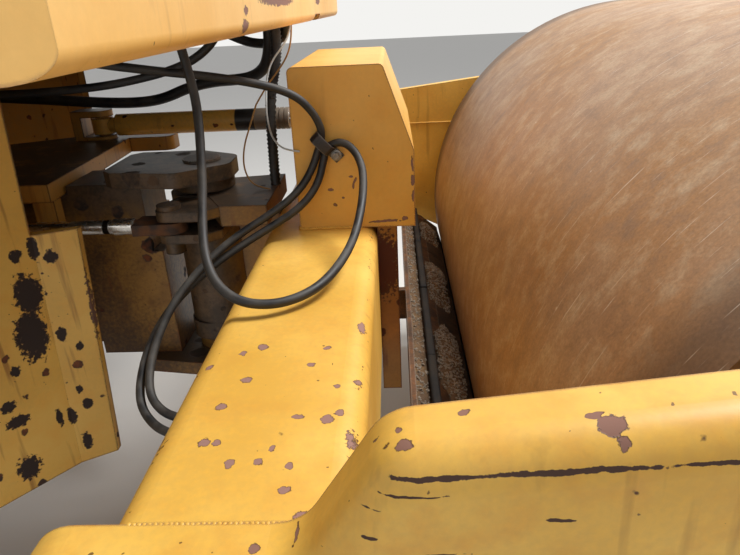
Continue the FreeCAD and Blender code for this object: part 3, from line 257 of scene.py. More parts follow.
def rolledSteel(name, look):
    # Rolled drum plate, rubbed by the ground: tan flash rust in clouds, fine lines round the drum,
    # a dark band at the rims and thin pale scratches.
    material, tree, shader, place = startFinish(name)
    cloud = addNode(tree, "TexNoise", {}, {"Vector": place, "Scale": 1000 / 420, "Detail": 5.0})
    patch = addNode(tree, "TexNoise", {}, {"Vector": place, "Scale": 1000 / 60, "Detail": 8.0, "Roughness": 0.7})
    grain = addNode(tree, "TexNoise", {}, {"Vector": place, "Scale": 1000 / 5, "Detail": 4.0, "Roughness": 0.7})
    # 7 mm wide across the drum and long round it
    lines = addNode(tree, "Mapping", {}, {"Vector": place, "Scale": (2.2, 1000 / 7, 2.2)})
    lines = addNode(tree, "TexNoise", {}, {"Vector": lines, "Scale": 1.0, "Detail": 4.0, "Roughness": 0.6})
    cuts = addNode(tree, "Mapping", {}, {"Vector": place, "Scale": (9, 1000 / 3, 9)})
    cuts = addNode(tree, "TexNoise", {}, {"Vector": cuts, "Scale": 1.0, "Detail": 2.0})
    mixed = addNode(tree, "MapRange", {}, {0: cloud, 1: 0.38, 2: 0.62})
    colour = addNode(tree, "Mix", {"data_type": "RGBA"}, {0: mixed, 6: linear(look["tan"]),
                                                          7: linear(look["orange"])}, out=2)
    pale = addNode(tree, "MapRange", {}, {0: patch, 1: 0.5, 2: 0.68, 4: 0.5})
    colour = addNode(tree, "Mix", {"data_type": "RGBA"}, {0: pale, 6: colour, 7: linear(look["cream"])}, out=2)
    brown = addNode(tree, "MapRange", {}, {0: patch, 1: 0.48, 2: 0.32, 4: 0.6})
    colour = addNode(tree, "Mix", {"data_type": "RGBA"}, {0: brown, 6: colour, 7: linear(look["brown"])}, out=2)
    stripe = addNode(tree, "MapRange", {}, {0: lines, 1: 0.3, 2: 0.7, 3: 0.90, 4: 1.08})
    colour = addNode(tree, "Mix", {"data_type": "RGBA", "blend_type": "MULTIPLY"},
                     {0: 1.0, 6: colour, 7: stripe}, out=2)
    across = addNode(tree, "SeparateXYZ", {}, {0: place})
    across = addNode(tree, "Math", {"operation": "ABSOLUTE"}, {0: across.node.outputs[1]})
    across = addNode(tree, "Math", {"operation": "MULTIPLY_ADD"}, {0: patch, 1: 0.05, 2: across})
    band = addNode(tree, "MapRange", {}, {0: across, 1: 0.955, 2: 1.03, 4: 0.75})
    colour = addNode(tree, "Mix", {"data_type": "RGBA"}, {0: band, 6: colour, 7: linear(look["rim"])}, out=2)
    # pale nicks of 3 to 15 mm, each in its own direction
    nicks = addNode(tree, "TexVoronoi", {"feature": "F1"}, {"Vector": place, "Scale": 1000 / 55})
    nickSize = addNode(tree, "SeparateColor", {}, {0: nicks.node.outputs["Color"]})
    nickSize = addNode(tree, "MapRange", {}, {0: nickSize, 1: 0.35, 2: 1.0, 4: 0.11})
    nickEdge = addNode(tree, "Math", {"operation": "MULTIPLY_ADD"}, {0: grain, 1: 0.28, 2: nicks})
    nickEdge = addNode(tree, "Math", {"operation": "SUBTRACT"}, {0: nickSize, 1: nickEdge})
    nicks = addNode(tree, "MapRange", {}, {0: nickEdge, 1: -0.10, 2: -0.06, 4: 0.7})
    scratch = addNode(tree, "MapRange", {}, {0: cuts, 1: 0.68, 2: 0.74, 4: 0.6})
    scratch = addNode(tree, "Math", {"operation": "MAXIMUM"}, {0: scratch, 1: nicks})
    colour = addNode(tree, "Mix", {"data_type": "RGBA"}, {0: scratch, 6: colour, 7: linear(look["scratch"])}, out=2)
    fine = addNode(tree, "MapRange", {}, {0: grain, 1: 0.3, 2: 0.7, 3: 0.80, 4: 1.16})
    colour = addNode(tree, "Mix", {"data_type": "RGBA", "blend_type": "MULTIPLY"},
                     {0: 1.0, 6: colour, 7: fine}, out=2)
    rough = addNode(tree, "MapRange", {}, {0: lines, 1: 0.3, 2: 0.7, 3: 0.42, 4: 0.62})
    high = addNode(tree, "Math", {"operation": "MULTIPLY_ADD"}, {0: lines, 1: 0.6, 2: grain})
    bump = addNode(tree, "Bump", {}, {"Strength": 0.35, "Distance": 0.0004, "Height": high})
    shader.inputs["Metallic"].default_value = 0.2
    tree.links.new(colour, shader.inputs["Base Color"])
    tree.links.new(rough, shader.inputs["Roughness"])
    tree.links.new(bump, shader.inputs["Normal"])
    return material


def chromedRod(name, look):
    # Hard-chromed rod: mirror-bright, with a dusty film; a dark groove, a silver collar and a rusty
    # forged eye follow along X.
    material, tree, shader, place = startFinish(name)
    at = addNode(tree, "SeparateXYZ", {}, {0: place})
    film = addNode(tree, "TexNoise", {}, {"Vector": place, "Scale": 1000 / 30, "Detail": 5.0})
    grit = addNode(tree, "TexNoise", {}, {"Vector": place, "Scale": 1000 / 7, "Detail": 4.0})
    dusty = addNode(tree, "MapRange", {}, {0: film, 1: 0.45, 2: 0.7, 4: 0.35})
    colour = addNode(tree, "Mix", {"data_type": "RGBA"}, {0: dusty, 6: linear("#D9D6D0"),
                                                          7: linear("#A08E74")}, out=2)
    groove = addNode(tree, "Math", {"operation": "SUBTRACT"}, {0: at, 1: look["groove"]})
    groove = addNode(tree, "Math", {"operation": "ABSOLUTE"}, {0: groove})
    groove = addNode(tree, "MapRange", {}, {0: groove, 1: 0.009, 2: 0.006})
    colour = addNode(tree, "Mix", {"data_type": "RGBA"}, {0: groove, 6: colour, 7: linear("#241C15")}, out=2)
    eye = addNode(tree, "MapRange", {}, {0: at, 1: look["eye"] - 0.002, 2: look["eye"] + 0.002})
    rusty = addNode(tree, "MapRange", {}, {0: film, 1: 0.42, 2: 0.66})
    forged = addNode(tree, "Mix", {"data_type": "RGBA"}, {0: rusty, 6: linear("#3C2D24"), 7: linear("#70492C")},
                     out=2)
    colour = addNode(tree, "Mix", {"data_type": "RGBA"}, {0: eye, 6: colour, 7: forged}, out=2)
    metal = addNode(tree, "MapRange", {}, {0: eye, 3: 0.95, 4: 0.2})
    dark = addNode(tree, "Math", {"operation": "MAXIMUM"}, {0: eye, 1: groove})
    rough = addNode(tree, "MapRange", {}, {0: dark, 3: 0.22, 4: 0.65})
    rough = addNode(tree, "Math", {"operation": "MULTIPLY_ADD"}, {0: dusty, 1: 0.5, 2: rough})
    bump = addNode(tree, "Bump", {}, {"Strength": 0.4, "Distance": 0.0004, "Height": grit})
    tree.links.new(colour, shader.inputs["Base Color"])
    tree.links.new(metal, shader.inputs["Metallic"])
    tree.links.new(rough, shader.inputs["Roughness"])
    tree.links.new(bump, shader.inputs["Normal"])
    return material


def dustyCoverWithPaintedHighlight(name, look):
    # Moulded rubber or dull paint: near black, with pale dust settled on what faces up; the pale on the tops is also
    # a painted highlight.
    material, tree, shader, place = startFinish(name)
    cloud = addNode(tree, "TexNoise", {}, {"Vector": place, "Scale": 1000 / look["cloud"], "Detail": 5.0})
    grain = addNode(tree, "TexNoise", {}, {"Vector": place, "Scale": 1000 / look["grain"], "Detail": 3.0})
    normal = addNode(tree, "NewGeometry", out=1)
    # how much a face looks up: this lifts the pale colour on the tops, partly as settled dust and partly as a
    # painted highlight
    up = addNode(tree, "SeparateXYZ", {}, {0: normal})
    up = addNode(tree, "MapRange", {}, {0: up.node.outputs[2], 1: -0.2, 2: 1.0, 3: 0.15, 4: 1.0})
    dust = addNode(tree, "MapRange", {}, {0: cloud, 1: 0.35, 2: 0.7, 4: look["dusty"]})
    dust = addNode(tree, "Math", {"operation": "MULTIPLY"}, {0: dust, 1: up})
    colour = addNode(tree, "Mix", {"data_type": "RGBA"}, {0: dust, 6: linear(look["base"]),
                                                          7: linear(look["dust"])}, out=2)
    rough = addNode(tree, "MapRange", {}, {0: dust, 1: 0.0, 2: 0.6, 3: look["rough"], 4: 0.9})
    bump = addNode(tree, "Bump", {}, {"Strength": 0.4, "Distance": look["bump"], "Height": grain})
    tree.links.new(colour, shader.inputs["Base Color"])
    tree.links.new(rough, shader.inputs["Roughness"])
    tree.links.new(bump, shader.inputs["Normal"])
    return material


# the chips and scrapes seen in the photograph: x, y, z, three half sizes in mm, tilt about Y, turn about Z
crossMarks = [(x, y, 155, hx, hy, 12, 0, 0) for x, y, hx, hy in (
    (1471, -762, 8, 10), (1464, -853, 7, 7), (1552, -816, 6, 7), (1571, -769, 6, 7), (1601, -932, 7, 7),
    (1549, -940, 7, 6), (1587, -947, 9, 9), (1446, -916, 8, 9), (1442, -987, 7, 8), (1457, -988, 6, 6),
    (1482, -1027, 6, 8), (1515, -1023, 6, 7), (1551, -1031, 5, 6), (1551, -1069, 9, 7), (1576, -1108, 9, 9),
    (1403, -817, 6, 7), (1444, -780, 6, 7), (1593, -873, 4, 6), (1527, -1001, 4, 6), (1625, -980, 14, 22),
    (1628, -860, 12, 16), (1622, -700, 10, 20))]
railMarks = [(1535, -1146, 155, 6, 7, 12, 0, 0), (1576, -1137, 155, 3, 18, 12, 0, 0),
             (1682, -1165, 292, 9, 6, 12, 0, 0), (1850, -1168, 308, 12, 10, 14, 0, 0),
             (1856, -1184, 306, 7, 9, 14, 0, 0), (1838, -1156, 308, 8, 4, 14, 0, 0),
             (1735, -1134, 298, 6, 5, 12, 0, 0), (1664, -1158, 290, 7, 7, 8, 0, 0),
             (1648, -1170, 280, 5, 4, 12, 0, 0), (1676, -1146, 292, 4, 4, 12, 0, 0),
             (1655, -1140, 286, 5, 4, 12, 0, 0), (1640, -1150, 276, 4, 5, 12, 0, 0)]
railScrapes = [(1690, -1195, 273, 70, 14, 2.2, -3.7, 0), (1820, -1195, 282, 80, 14, 2.6, -3.7, 0),
               (1940, -1195, 290, 60, 14, 2.0, -3.7, 0), (1676, -1195, 258, 34, 14, 1.2, -3.7, 0),
               (1650, -1195, 215, 9, 14, 2.0, 0, 0), (1807, -1195, 234, 12, 14, 2.0, 0, 0),
               (1640, -1195, 240, 22, 14, 1.2, -4, 0), (1700, -1195, 196, 30, 14, 1.4, -4, 0)]
wingScrapes = [(976, -298, -20, 18, 24, 130, 0, 31), (976, -298, -230, 17, 24, 150, 0, 31)]
wingMarks = [(863, -362, 73, 32, 25, 53, 0, 51.7), (854, -373, -21, 38, 25, 65, 0, 51.7),
             (860, -365, 165, 14, 25, 15, 0, 51.7), (884, -334, 170, 11, 25, 29, 0, 51.7),
             (818, -418, -90, 12, 25, 13, 0, 51.7), (802, -438, -211, 27, 25, 17, 0, 51.7),
             (796, -446, -167, 17, 25, 15, 0, 51.7), (857, -370, -252, 8, 25, 26, 0, 51.7),
             (874, -348, -260, 10, 25, 27, 0, 51.7), (798, -443, -340, 29, 25, 32, 0, 51.7),
             (914, -326, 143, 15, 20, 18, 0, 31), (897, -337, -43, 11, 20, 20, 0, 31),
             (923, -321, -85, 9, 20, 11, 0, 31), (910, -329, -239, 14, 20, 14, 0, 31),
             (902, -334, -197, 9, 20, 11, 0, 31), (891, -340, -342, 12, 20, 26, 0, 31)]
deckMarks = [(1466, -274, 640, 14, 190, 9, 0, 0), (1466, -592, 604, 14, 22, 10, 0, 0),
             (1466, -581, 627, 14, 15, 7, 0, 0), (1466, 430, 643, 14, 57, 11, 0, 0),
             (1466, 434, 591, 14, 74, 6, 0, 0), (1466, -1207, 628, 14, 10, 4, 0, 0)]
boxMarks = [(1533, -220, 247, 6, 14, 3.5, 0, 0), (1561, -220, 227, 4, 14, 3, 0, 0),
            (1588, -220, 261, 3, 14, 12, 20, 0), (1582, -220, 276, 5, 14, 3, 0, 0),
            (1719, -220, 300, 3, 14, 16, 0, 0), (1719, -220, 262, 4, 14, 12, 0, 0),
            (1719, -220, 225, 3, 14, 16, 0, 0), (1697, -220, 499, 5, 14, 5, 0, 0),
            (1654, -220, 169, 40, 14, 3, 0, 0), (1700, -220, 174, 9, 14, 5, 0, 0)]
finish = {}
finish["crossmember"] = paintedSteel("enamelledCrossmember", {"marks": crossMarks, "mark": "#9A7468",
                                                              "round": 0.3, "chipShare": 0.2})
finish["side_rail_right"] = paintedSteel("enamelledNearRail", {"marks": railMarks, "mottling": 0.45,
                                                               "mark": "#8C6454", "scrapes": railScrapes})
finish["side_rail_left"] = paintedSteel("enamelledFarRail", {})
finish["hitch_box"] = paintedSteel("enamelledBox", {"marks": boxMarks, "chipShare": 0.1, "runs": 0.12,
                                                    "base": "#E9AF46", "bleached": "#F0BE64", "dirt": 0.15})
finish["deck_beam"] = paintedSteel("enamelledDeckBeam", {"marks": deckMarks, "base": "#F3BC62",
                                                         "bleached": "#F8CB80", "chipShare": 0.1, "round": 0.0,
                                                         "mottle": "#E9AC56", "mottling": 0.2, "dirt": 0.12})
finish["wing_right"] = paintedSteel("enamelledNearWing", {"marks": wingMarks, "mark": "#2A1C16", "round": 0.0,
                                                          "chipShare": 0.75, "chipSize": 0.24, "runs": 0.6,
                                                          "chipCell": 48, "chip": "#3E2A20", "edge": 5.0,
                                                          "base": "#D9A440", "bleached": "#E6B85C",
                                                          "scrapes": wingScrapes, "scrape": "#66483E"})
# the far wing: the near wing's enamel in darker tones, which is painted shade, with dirt and rust runs over it
finish["wing_left"] = paintedSteel("enamelledFarWingPaintedShade", {"round": 0.0, "chipShare": 0.7, "chip": "#4A3226",
                                                        "runs": 0.6, "dirt": 0.6, "edge": 5.0, "chipSize": 0.2,
                                                        "base": "#B98436", "bleached": "#C99748"})
finish["yoke_frame"] = paintedSteel("enamelledYoke", {"base": "#C4903A", "bleached": "#D6A452", "dirt": 0.5,
                                                      "chipShare": 0.65, "chipSize": 0.14, "chip": "#3B291F",
                                                      "edge": 5.0, "runs": 0.6, "topDirt": 0.95})
finish["nose_beam"] = paintedSteel("enamelledNoseBeam", {})
finish["bulkhead"] = paintedSteel("enamelledBulkhead", {"dirt": 0.35, "base": "#D9A03C"})
finish["left_cylinder_lug"] = paintedSteel("enamelledLug", {"dirt": 0.5, "chipShare": 0.5, "edge": 6.0})
finish["post_plate"] = paintedSteel("rustedPost", {"base": "#A06C28", "bleached": "#B98238", "chipShare": 0.9,
                                                   "chipSize": 0.34, "chip": "#4E2A1C", "rust": "#6E3418",
                                                   "edge": 6.0, "runs": 0.9, "dirt": 0.3, "dust": "#5A3A20",
                                                   "marks": [(1640, -190, 60, 60, 60, 95, 0, 0)],
                                                   "mark": "#552A1A"})
finish["right_barrel"] = paintedSteel("enamelledNearBarrel", {"base": "#B9872F", "dirt": 0.8, "chipShare": 0.6,
                                                              "chip": "#3B291F", "round": 0.0, "chipCell": 40})
finish["left_barrel"] = paintedSteel("enamelledFarBarrel", {"dirt": 0.45, "chipShare": 0.8, "chip": "#2E2019",
                                                            "round": 0.0, "chipCell": 32, "chipSize": 0.26,
                                                            "bands": [(1.180, 1.242, "#2A2622"),
                                                                      (1.242, 1.360, "#847666")]})
finish["deck_plate"] = dustyCoverWithPaintedHighlight("grittedDeckPaint", {"base": "#2E2C28", "dust": "#5A5245", "cloud": 420,
                                                       "grain": 3, "dusty": 0.35, "rough": 0.75, "bump": 0.001})
finish["hitch_casting"] = paintedSteel("greasyCasting", {"base": "#936B2E", "bleached": "#A97D38",
                                                         "mottle": "#6E4620", "dust": "#3E2E20", "dirt": 0.85,
                                                         "chip": "#1F1813", "chipShare": 0.9, "chipSize": 0.36,
                                                         "chipCell": 75, "edge": 5.0, "runs": 0.7, "topDirt": 0.8,
                                                         "soot": "#453B31", "mottling": 0.6,
                                                         "grease": ((0, 0, 1), 0.10, 0.22)})
finish["tongue"] = paintedSteel("wornTongue", {"base": "#A87730", "bleached": "#BC8B40", "dirt": 0.5,
                                               "chip": "#2C2018", "chipShare": 0.85, "chipSize": 0.26,
                                               "chipCell": 42, "edge": 5.0, "runs": 0.5, "topDirt": 0.92,
                                               "soot": "#4A4037", "dust": "#5A4630",
                                               "grease": ((-1, 0, 0), -1.30, -1.22)})
finish["king_pin"] = bareSteel("turnedPin", {"dark": "#3A3027", "mid": "#6B6157", "worn": "#A09889"})
finish["trunnion"] = bareSteel("turnedTrunnion", {})
finish["bearing_housing"] = bareSteel("castHousing", {"mid": "#4A3A2C"})
for name in ("scraper_beam", "scraper_shelf"):
    finish[name] = bareSteel("rusted_" + name, {"dark": "#3A2A1E", "mid": "#6B4B33", "rust": "#9A6536"})
finish["scraper_blades"] = bareSteel("dirtyBlades", {"dark": "#33271E", "mid": "#564537", "rust": "#76563A",
                                                     "rusty": 0.5, "worn": "#7B6E60"})
drumLook = {"tan": "#B49274", "orange": "#AE8256", "cream": "#D2BC9E", "brown": "#8E7460", "rim": "#66503F",
            "scratch": "#F2E9DA"}
for name in ("drum_shell", "drum_head_right", "drum_head_left"):
    finish[name] = rolledSteel("rolled_" + name, drumLook)
finish["exciter"] = bareSteel("castExciter", {"dark": "#2B2926", "mid": "#4A4640", "rust": "#5E4630"})
for name in ("drum_disc_right", "drum_disc_left", "drum_spindle_right", "drum_spindle_left", "travel_motor",
             "vibration_motor"):
    finish[name] = bareSteel("paintedDark_" + name, {"dark": "#1E1C1A", "mid": "#37322C", "rust": "#6A4A2E",
                                                     "rusty": 0.4, "metal": 0.0, "rough": 0.5})
for name in ("drum_buffers_right", "drum_buffers_left"):
    finish[name] = dustyCoverWithPaintedHighlight("mouldedRubber_" + name, {"base": "#171615", "dust": "#6F614E", "cloud": 40,
                                                        "grain": 4, "dusty": 0.5, "rough": 0.7, "bump": 0.0004})
finish["right_rod"] = chromedRod("chromedNearRod", {"groove": 0.985, "eye": 1.054})
finish["left_rod"] = chromedRod("chromedFarRod", {"groove": 1.372, "eye": 1.588})
hoseFinish = dustyCoverWithPaintedHighlight("dustyHighlitHoseRubber", {"base": "#17181B", "dust": "#8A8378", "cloud": 45, "grain": 2.5,
                                            "dusty": 0.4, "rough": 0.5, "bump": 0.0003})
zincFinish = bareSteel("zincPlatedSteel", {"dark": "#4E4840", "mid": "#86807A", "rust": "#7A5636",
                                           "worn": "#B8B2A8", "metal": 0.6, "rough": 0.45, "bump": 0.0003,
                                           "rusty": 0.35})
strapFinish = bareSteel("darkStrapSteel", {"dark": "#1C1A1C", "mid": "#322C2C", "rust": "#5A3D2E",
                                           "rusty": 0.35, "metal": 0.1, "rough": 0.55, "bump": 0.0003})
weldFinish = paintedSteel("enamelledWeld", {"chipCell": 40, "chipShare": 0.2, "round": 0.0, "edge": 0.0})
rubberFinish = dustyCoverWithPaintedHighlight("mouldedWiperRubber", {"base": "#15171A", "dust": "#6E6252", "cloud": 60, "grain": 3,
                                                 "dusty": 0.35, "rough": 0.6, "bump": 0.0004})
gravelFinish = bareSteel("crushedGravel", {"dark": "#7A6A58", "mid": "#A59580", "rust": "#8F7350",
                                           "worn": "#C9BFAE", "metal": 0.0, "rough": 0.85, "grain": 4})
soilFinish = bareSteel("dryDirt", {"dark": "#6E563F", "mid": "#94785A", "rust": "#A5804F", "worn": "#B79C78",
                                   "metal": 0.0, "rough": 0.9, "edge": 0.0, "bump": 0.003})
for name, node in nodes.items():
    if name in finish:
        node.data.materials.clear()
        node.data.materials.append(finish[name])
print("finishes made", len(finish))

# hoses: the routes are the part's own, in metres
hoses = {
    "hose_loop_lower": {"length": 0.924, "route": (
        (1.533, -0.234, 0.345), (1.552, -0.235, 0.357), (1.577, -0.240, 0.355), (1.597, -0.253, 0.338),
        (1.609, -0.276, 0.317), (1.614, -0.306, 0.298),
        (1.614, -0.352, 0.272), (1.608, -0.410, 0.242), (1.597, -0.470, 0.216),
        (1.579, -0.532, 0.199), (1.551, -0.590, 0.183), (1.515, -0.632, 0.176), (1.469, -0.658, 0.175),
        (1.418, -0.662, 0.183), (1.376, -0.641, 0.204), (1.350, -0.601, 0.237), (1.338, -0.551, 0.284),
        (1.334, -0.498, 0.348), (1.330, -0.466, 0.406))},
    "hose_loop_upper": {"length": 0.332, "route": (
        (1.330, -0.466, 0.406), (1.326, -0.434, 0.464), (1.315, -0.420, 0.529), (1.302, -0.413, 0.592),
        (1.291, -0.411, 0.650), (1.285, -0.411, 0.695), (1.285, -0.411, 0.725))},
    "hose_return_lower": {"length": 0.477, "route": (
        (1.520, -0.234, 0.354), (1.526, -0.236, 0.376), (1.521, -0.241, 0.402), (1.507, -0.250, 0.430),
        (1.484, -0.260, 0.457), (1.449, -0.271, 0.476), (1.403, -0.284, 0.491), (1.350, -0.300, 0.504),
        (1.290, -0.318, 0.516), (1.222, -0.341, 0.528), (1.150, -0.366, 0.543))},
    "hose_return_upper": {"length": 0.294, "route": (
        (1.150, -0.366, 0.543), (1.081, -0.390, 0.558), (1.025, -0.403, 0.586), (0.986, -0.410, 0.632),
        (0.963, -0.411, 0.690), (0.963, -0.411, 0.725))},
    "hose_drop_rear": {"length": 0.842, "route": (
        (1.520, -0.234, 0.354), (1.511, -0.236, 0.331), (1.499, -0.243, 0.302), (1.480, -0.254, 0.272),
        (1.450, -0.270, 0.243), (1.405, -0.290, 0.216), (1.346, -0.318, 0.187), (1.292, -0.356, 0.154),
        (1.246, -0.398, 0.115), (1.208, -0.445, 0.070), (1.186, -0.494, 0.020), (1.181, -0.542, -0.022),
        (1.195, -0.588, -0.048), (1.228, -0.622, -0.060), (1.268, -0.643, -0.061), (1.310, -0.645, -0.060),
        (1.345, -0.645, -0.060))},
    "hose_drop_front": {"length": 0.930, "route": (
        (1.533, -0.234, 0.345), (1.524, -0.236, 0.316), (1.514, -0.246, 0.280), (1.494, -0.262, 0.247),
        (1.460, -0.278, 0.218), (1.413, -0.292, 0.193), (1.356, -0.315, 0.165), (1.296, -0.344, 0.134),
        (1.243, -0.380, 0.099), (1.197, -0.427, 0.058), (1.168, -0.481, 0.011), (1.160, -0.536, -0.033),
        (1.174, -0.594, -0.062), (1.213, -0.640, -0.076), (1.262, -0.676, -0.072), (1.310, -0.692, -0.060),
        (1.345, -0.692, -0.060))},
}


def hoseTube(name, route, radius, sides=3):
    # a mesh tube swept along one open NURBS spline, and the points that the spline itself gives
    curve = bpy.data.curves.new(name + "Route", "CURVE")
    curve.dimensions = "3D"
    spline = curve.splines.new("NURBS")
    spline.points.add(len(route) - 1)
    for point, spot in zip(spline.points, route):
        point.co = (*spot, 1)
    spline.order_u = 3
    spline.use_endpoint_u = True
    spline.resolution_u = 8
    line = bpy.data.objects.new(name + "Line", curve)
    bare = bpy.data.meshes.new_from_object(line)
    path = [tuple(v.co) for v in bare.vertices]
    curve.bevel_depth = radius
    curve.bevel_resolution = sides
    curve.use_fill_caps = True
    mesh = bpy.data.meshes.new_from_object(line)
    for face in mesh.polygons:
        face.use_smooth = len(face.vertices) == 4
    mesh.materials.clear()
    mesh.materials.append(hoseFinish)
    piece = bpy.data.objects.new(name, mesh)
    bpy.context.scene.collection.objects.link(piece)
    bpy.data.objects.remove(line)
    bpy.data.curves.remove(curve)
    bpy.data.meshes.remove(bare)
    return piece, path


for name, hose in hoses.items():
    piece, path = hoseTube(name + "_tube", hose["route"], 0.0085)
    if name == "hose_loop_lower":
        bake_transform(piece)
    elif name == "hose_return_lower":
        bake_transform(piece)
    elif name.endswith("_upper"):
        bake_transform(piece)
    else:
        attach(piece, "front_frame")
    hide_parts(name)
print("hoses made", len(hoses))

# the bundle under the deck: thick hoses on the nose, a ribbed sleeve and two thin wires down to the hitch
bundle = {
    "hose_supply": {"radius": 0.015, "body": ["nose"], "route": (
        (0.027, 0.250, 0.470), (0.140, 0.250, 0.462), (0.320, 0.248, 0.446), (0.520, 0.240, 0.430),
        (0.703, 0.230, 0.417), (0.843, 0.225, 0.403), (0.961, 0.220, 0.399), (1.038, 0.210, 0.409),
        (1.112, 0.200, 0.437), (1.190, 0.190, 0.452), (1.262, 0.172, 0.455), (1.312, 0.147, 0.464),
        (1.345, 0.120, 0.484), (1.365, 0.092, 0.514), (1.376, 0.070, 0.549), (1.380, 0.060, 0.575),
        (1.380, 0.058, 0.591))},
    "hose_arch": {"radius": 0.012, "body": ["nose"], "route": (
        (1.190, 0.165, 0.754), (1.190, 0.165, 0.700), (1.200, 0.165, 0.640), (1.232, 0.160, 0.582),
        (1.298, 0.148, 0.552), (1.346, 0.128, 0.545), (1.382, 0.098, 0.549), (1.408, 0.066, 0.560),
        (1.420, 0.052, 0.575), (1.422, 0.050, 0.591))},
    "hose_edge": {"radius": 0.010, "body": ["nose"], "route": (
        (0.027, -0.060, 0.505), (0.140, -0.060, 0.500), (0.330, -0.060, 0.485), (0.560, -0.060, 0.470),
        (0.762, -0.060, 0.466), (0.896, -0.060, 0.470), (1.003, -0.060, 0.477), (1.083, -0.060, 0.489),
        (1.158, -0.060, 0.504), (1.225, -0.060, 0.528), (1.276, -0.060, 0.568), (1.305, -0.060, 0.625),
        (1.314, -0.060, 0.690), (1.314, -0.060, 0.754))},
    "sleeve_upper": {"radius": 0.013, "body": ["nose", "yoke"], "ribbed": True, "route": (
        (1.402, 0.022, 0.591), (1.402, 0.023, 0.565), (1.399, 0.025, 0.530), (1.391, 0.028, 0.490),
        (1.380, 0.030, 0.455), (1.374, 0.030, 0.424))},
    "sleeve_lower": {"radius": 0.013, "body": ["yoke", "front_frame"], "ribbed": True, "route": (
        (1.374, 0.030, 0.424), (1.368, 0.026, 0.385), (1.368, 0.016, 0.333), (1.368, 0.008, 0.283),
        (1.367, 0.005, 0.240), (1.367, 0.005, 0.206))},
    "tan_wire_upper": {"radius": 0.0022, "body": ["nose", "yoke"], "wire": "#B98A4E", "route": (
        (1.448, -0.020, 0.591), (1.446, -0.020, 0.560), (1.432, -0.020, 0.521), (1.402, -0.025, 0.484),
        (1.373, -0.030, 0.453), (1.346, -0.030, 0.414))},
    "tan_wire_lower": {"radius": 0.0022, "body": ["yoke", "front_frame"], "wire": "#B98A4E", "route": (
        (1.346, -0.030, 0.414), (1.324, -0.030, 0.362), (1.304, -0.030, 0.316), (1.296, -0.030, 0.270),
        (1.302, -0.030, 0.236), (1.318, -0.036, 0.217), (1.343, -0.042, 0.2095), (1.362, -0.050, 0.2075))},
    "pale_wire_upper": {"radius": 0.0022, "body": ["nose", "yoke"], "wire": "#C9CFCF", "route": (
        (1.452, -0.060, 0.591), (1.448, -0.066, 0.572), (1.434, -0.078, 0.549), (1.404, -0.095, 0.515),
        (1.392, -0.118, 0.470), (1.394, -0.150, 0.413))},
    "pale_wire_lower": {"radius": 0.0022, "body": ["yoke", "front_frame"], "wire": "#C9CFCF", "route": (
        (1.394, -0.150, 0.413), (1.400, -0.178, 0.379), (1.420, -0.208, 0.352), (1.446, -0.227, 0.341),
        (1.472, -0.2225, 0.337))},
}
for name, hose in bundle.items():
    wire = hose.get("wire")
    piece, path = hoseTube(name, hose["route"], hose["radius"], 1 if wire else 3)
    if hose.get("ribbed"):
        around = len(piece.data.vertices) // len(path)  # points in one ring of the tube
        for i, point in enumerate(piece.data.vertices):
            axis = Vector(path[min(i // around, len(path) - 1)])
            point.co = axis + (point.co - axis) * (1.10 if i // around % 2 else 0.88)
    if wire:
        piece.data.materials[0] = dustyCoverWithPaintedHighlight("insulatedWire_" + name, {
            "base": wire, "dust": "#8A7A60", "cloud": 20, "grain": 3, "dusty": 0.5, "rough": 0.5, "bump": 0.0001})
    if len(hose["body"]) == 2:
        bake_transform(piece)
    else:
        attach(piece, hose["body"][0])
print("bundle made", len(bundle))


def addPart(name, kind, **settings):
    # a primitive at its size and place, alone in the selection
    bpy.ops.object.select_all(action="DESELECT")
    getattr(bpy.ops.mesh, "primitive_" + kind + "_add")(**settings)
    piece = bpy.context.object
    piece.name = name
    bpy.ops.object.transform_apply(location=True, rotation=True, scale=True)
    return piece


def pickFaces(piece, test):
    # edit mode, with only the faces that pass the test selected
    bpy.context.tool_settings.mesh_select_mode = (False, False, True)
    bpy.ops.object.mode_set(mode="EDIT")
    bpy.ops.mesh.select_all(action="DESELECT")
    bpy.ops.object.mode_set(mode="OBJECT")
    for face in piece.data.polygons:
        face.select = test(face)
    bpy.ops.object.mode_set(mode="EDIT")


def pickPoints(piece, test):
    # edit mode, with only the points that pass the test selected
    bpy.context.tool_settings.mesh_select_mode = (True, False, False)
    bpy.ops.object.mode_set(mode="EDIT")
    bpy.ops.mesh.select_all(action="DESELECT")
    bpy.ops.object.mode_set(mode="OBJECT")
    for point in piece.data.vertices:
        point.select = test(point.co)
    bpy.ops.object.mode_set(mode="EDIT")


def addModifier(piece, kind, **settings):
    # a modifier, set and applied
    bpy.ops.object.select_all(action="DESELECT")
    piece.select_set(True)
    bpy.context.view_layer.objects.active = piece
    made = piece.modifiers.new(kind.title(), kind)
    for key, value in settings.items():
        setattr(made, key, value)
    bpy.ops.object.modifier_apply(modifier=made.name)


def joinPieces(name, parts, material, body):
    # one piece from its parts, with its finish and its body
    bpy.ops.object.select_all(action="DESELECT")
    for part in parts:
        part.select_set(True)
    bpy.context.view_layer.objects.active = parts[0]
    if len(parts) > 1:
        bpy.ops.object.join()
    piece = parts[0]
    piece.name = name
    piece.data.materials.clear()
    piece.data.materials.append(material)
    bpy.ops.object.shade_smooth_by_angle(angle=math.radians(35))
    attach(piece, body)
    return piece


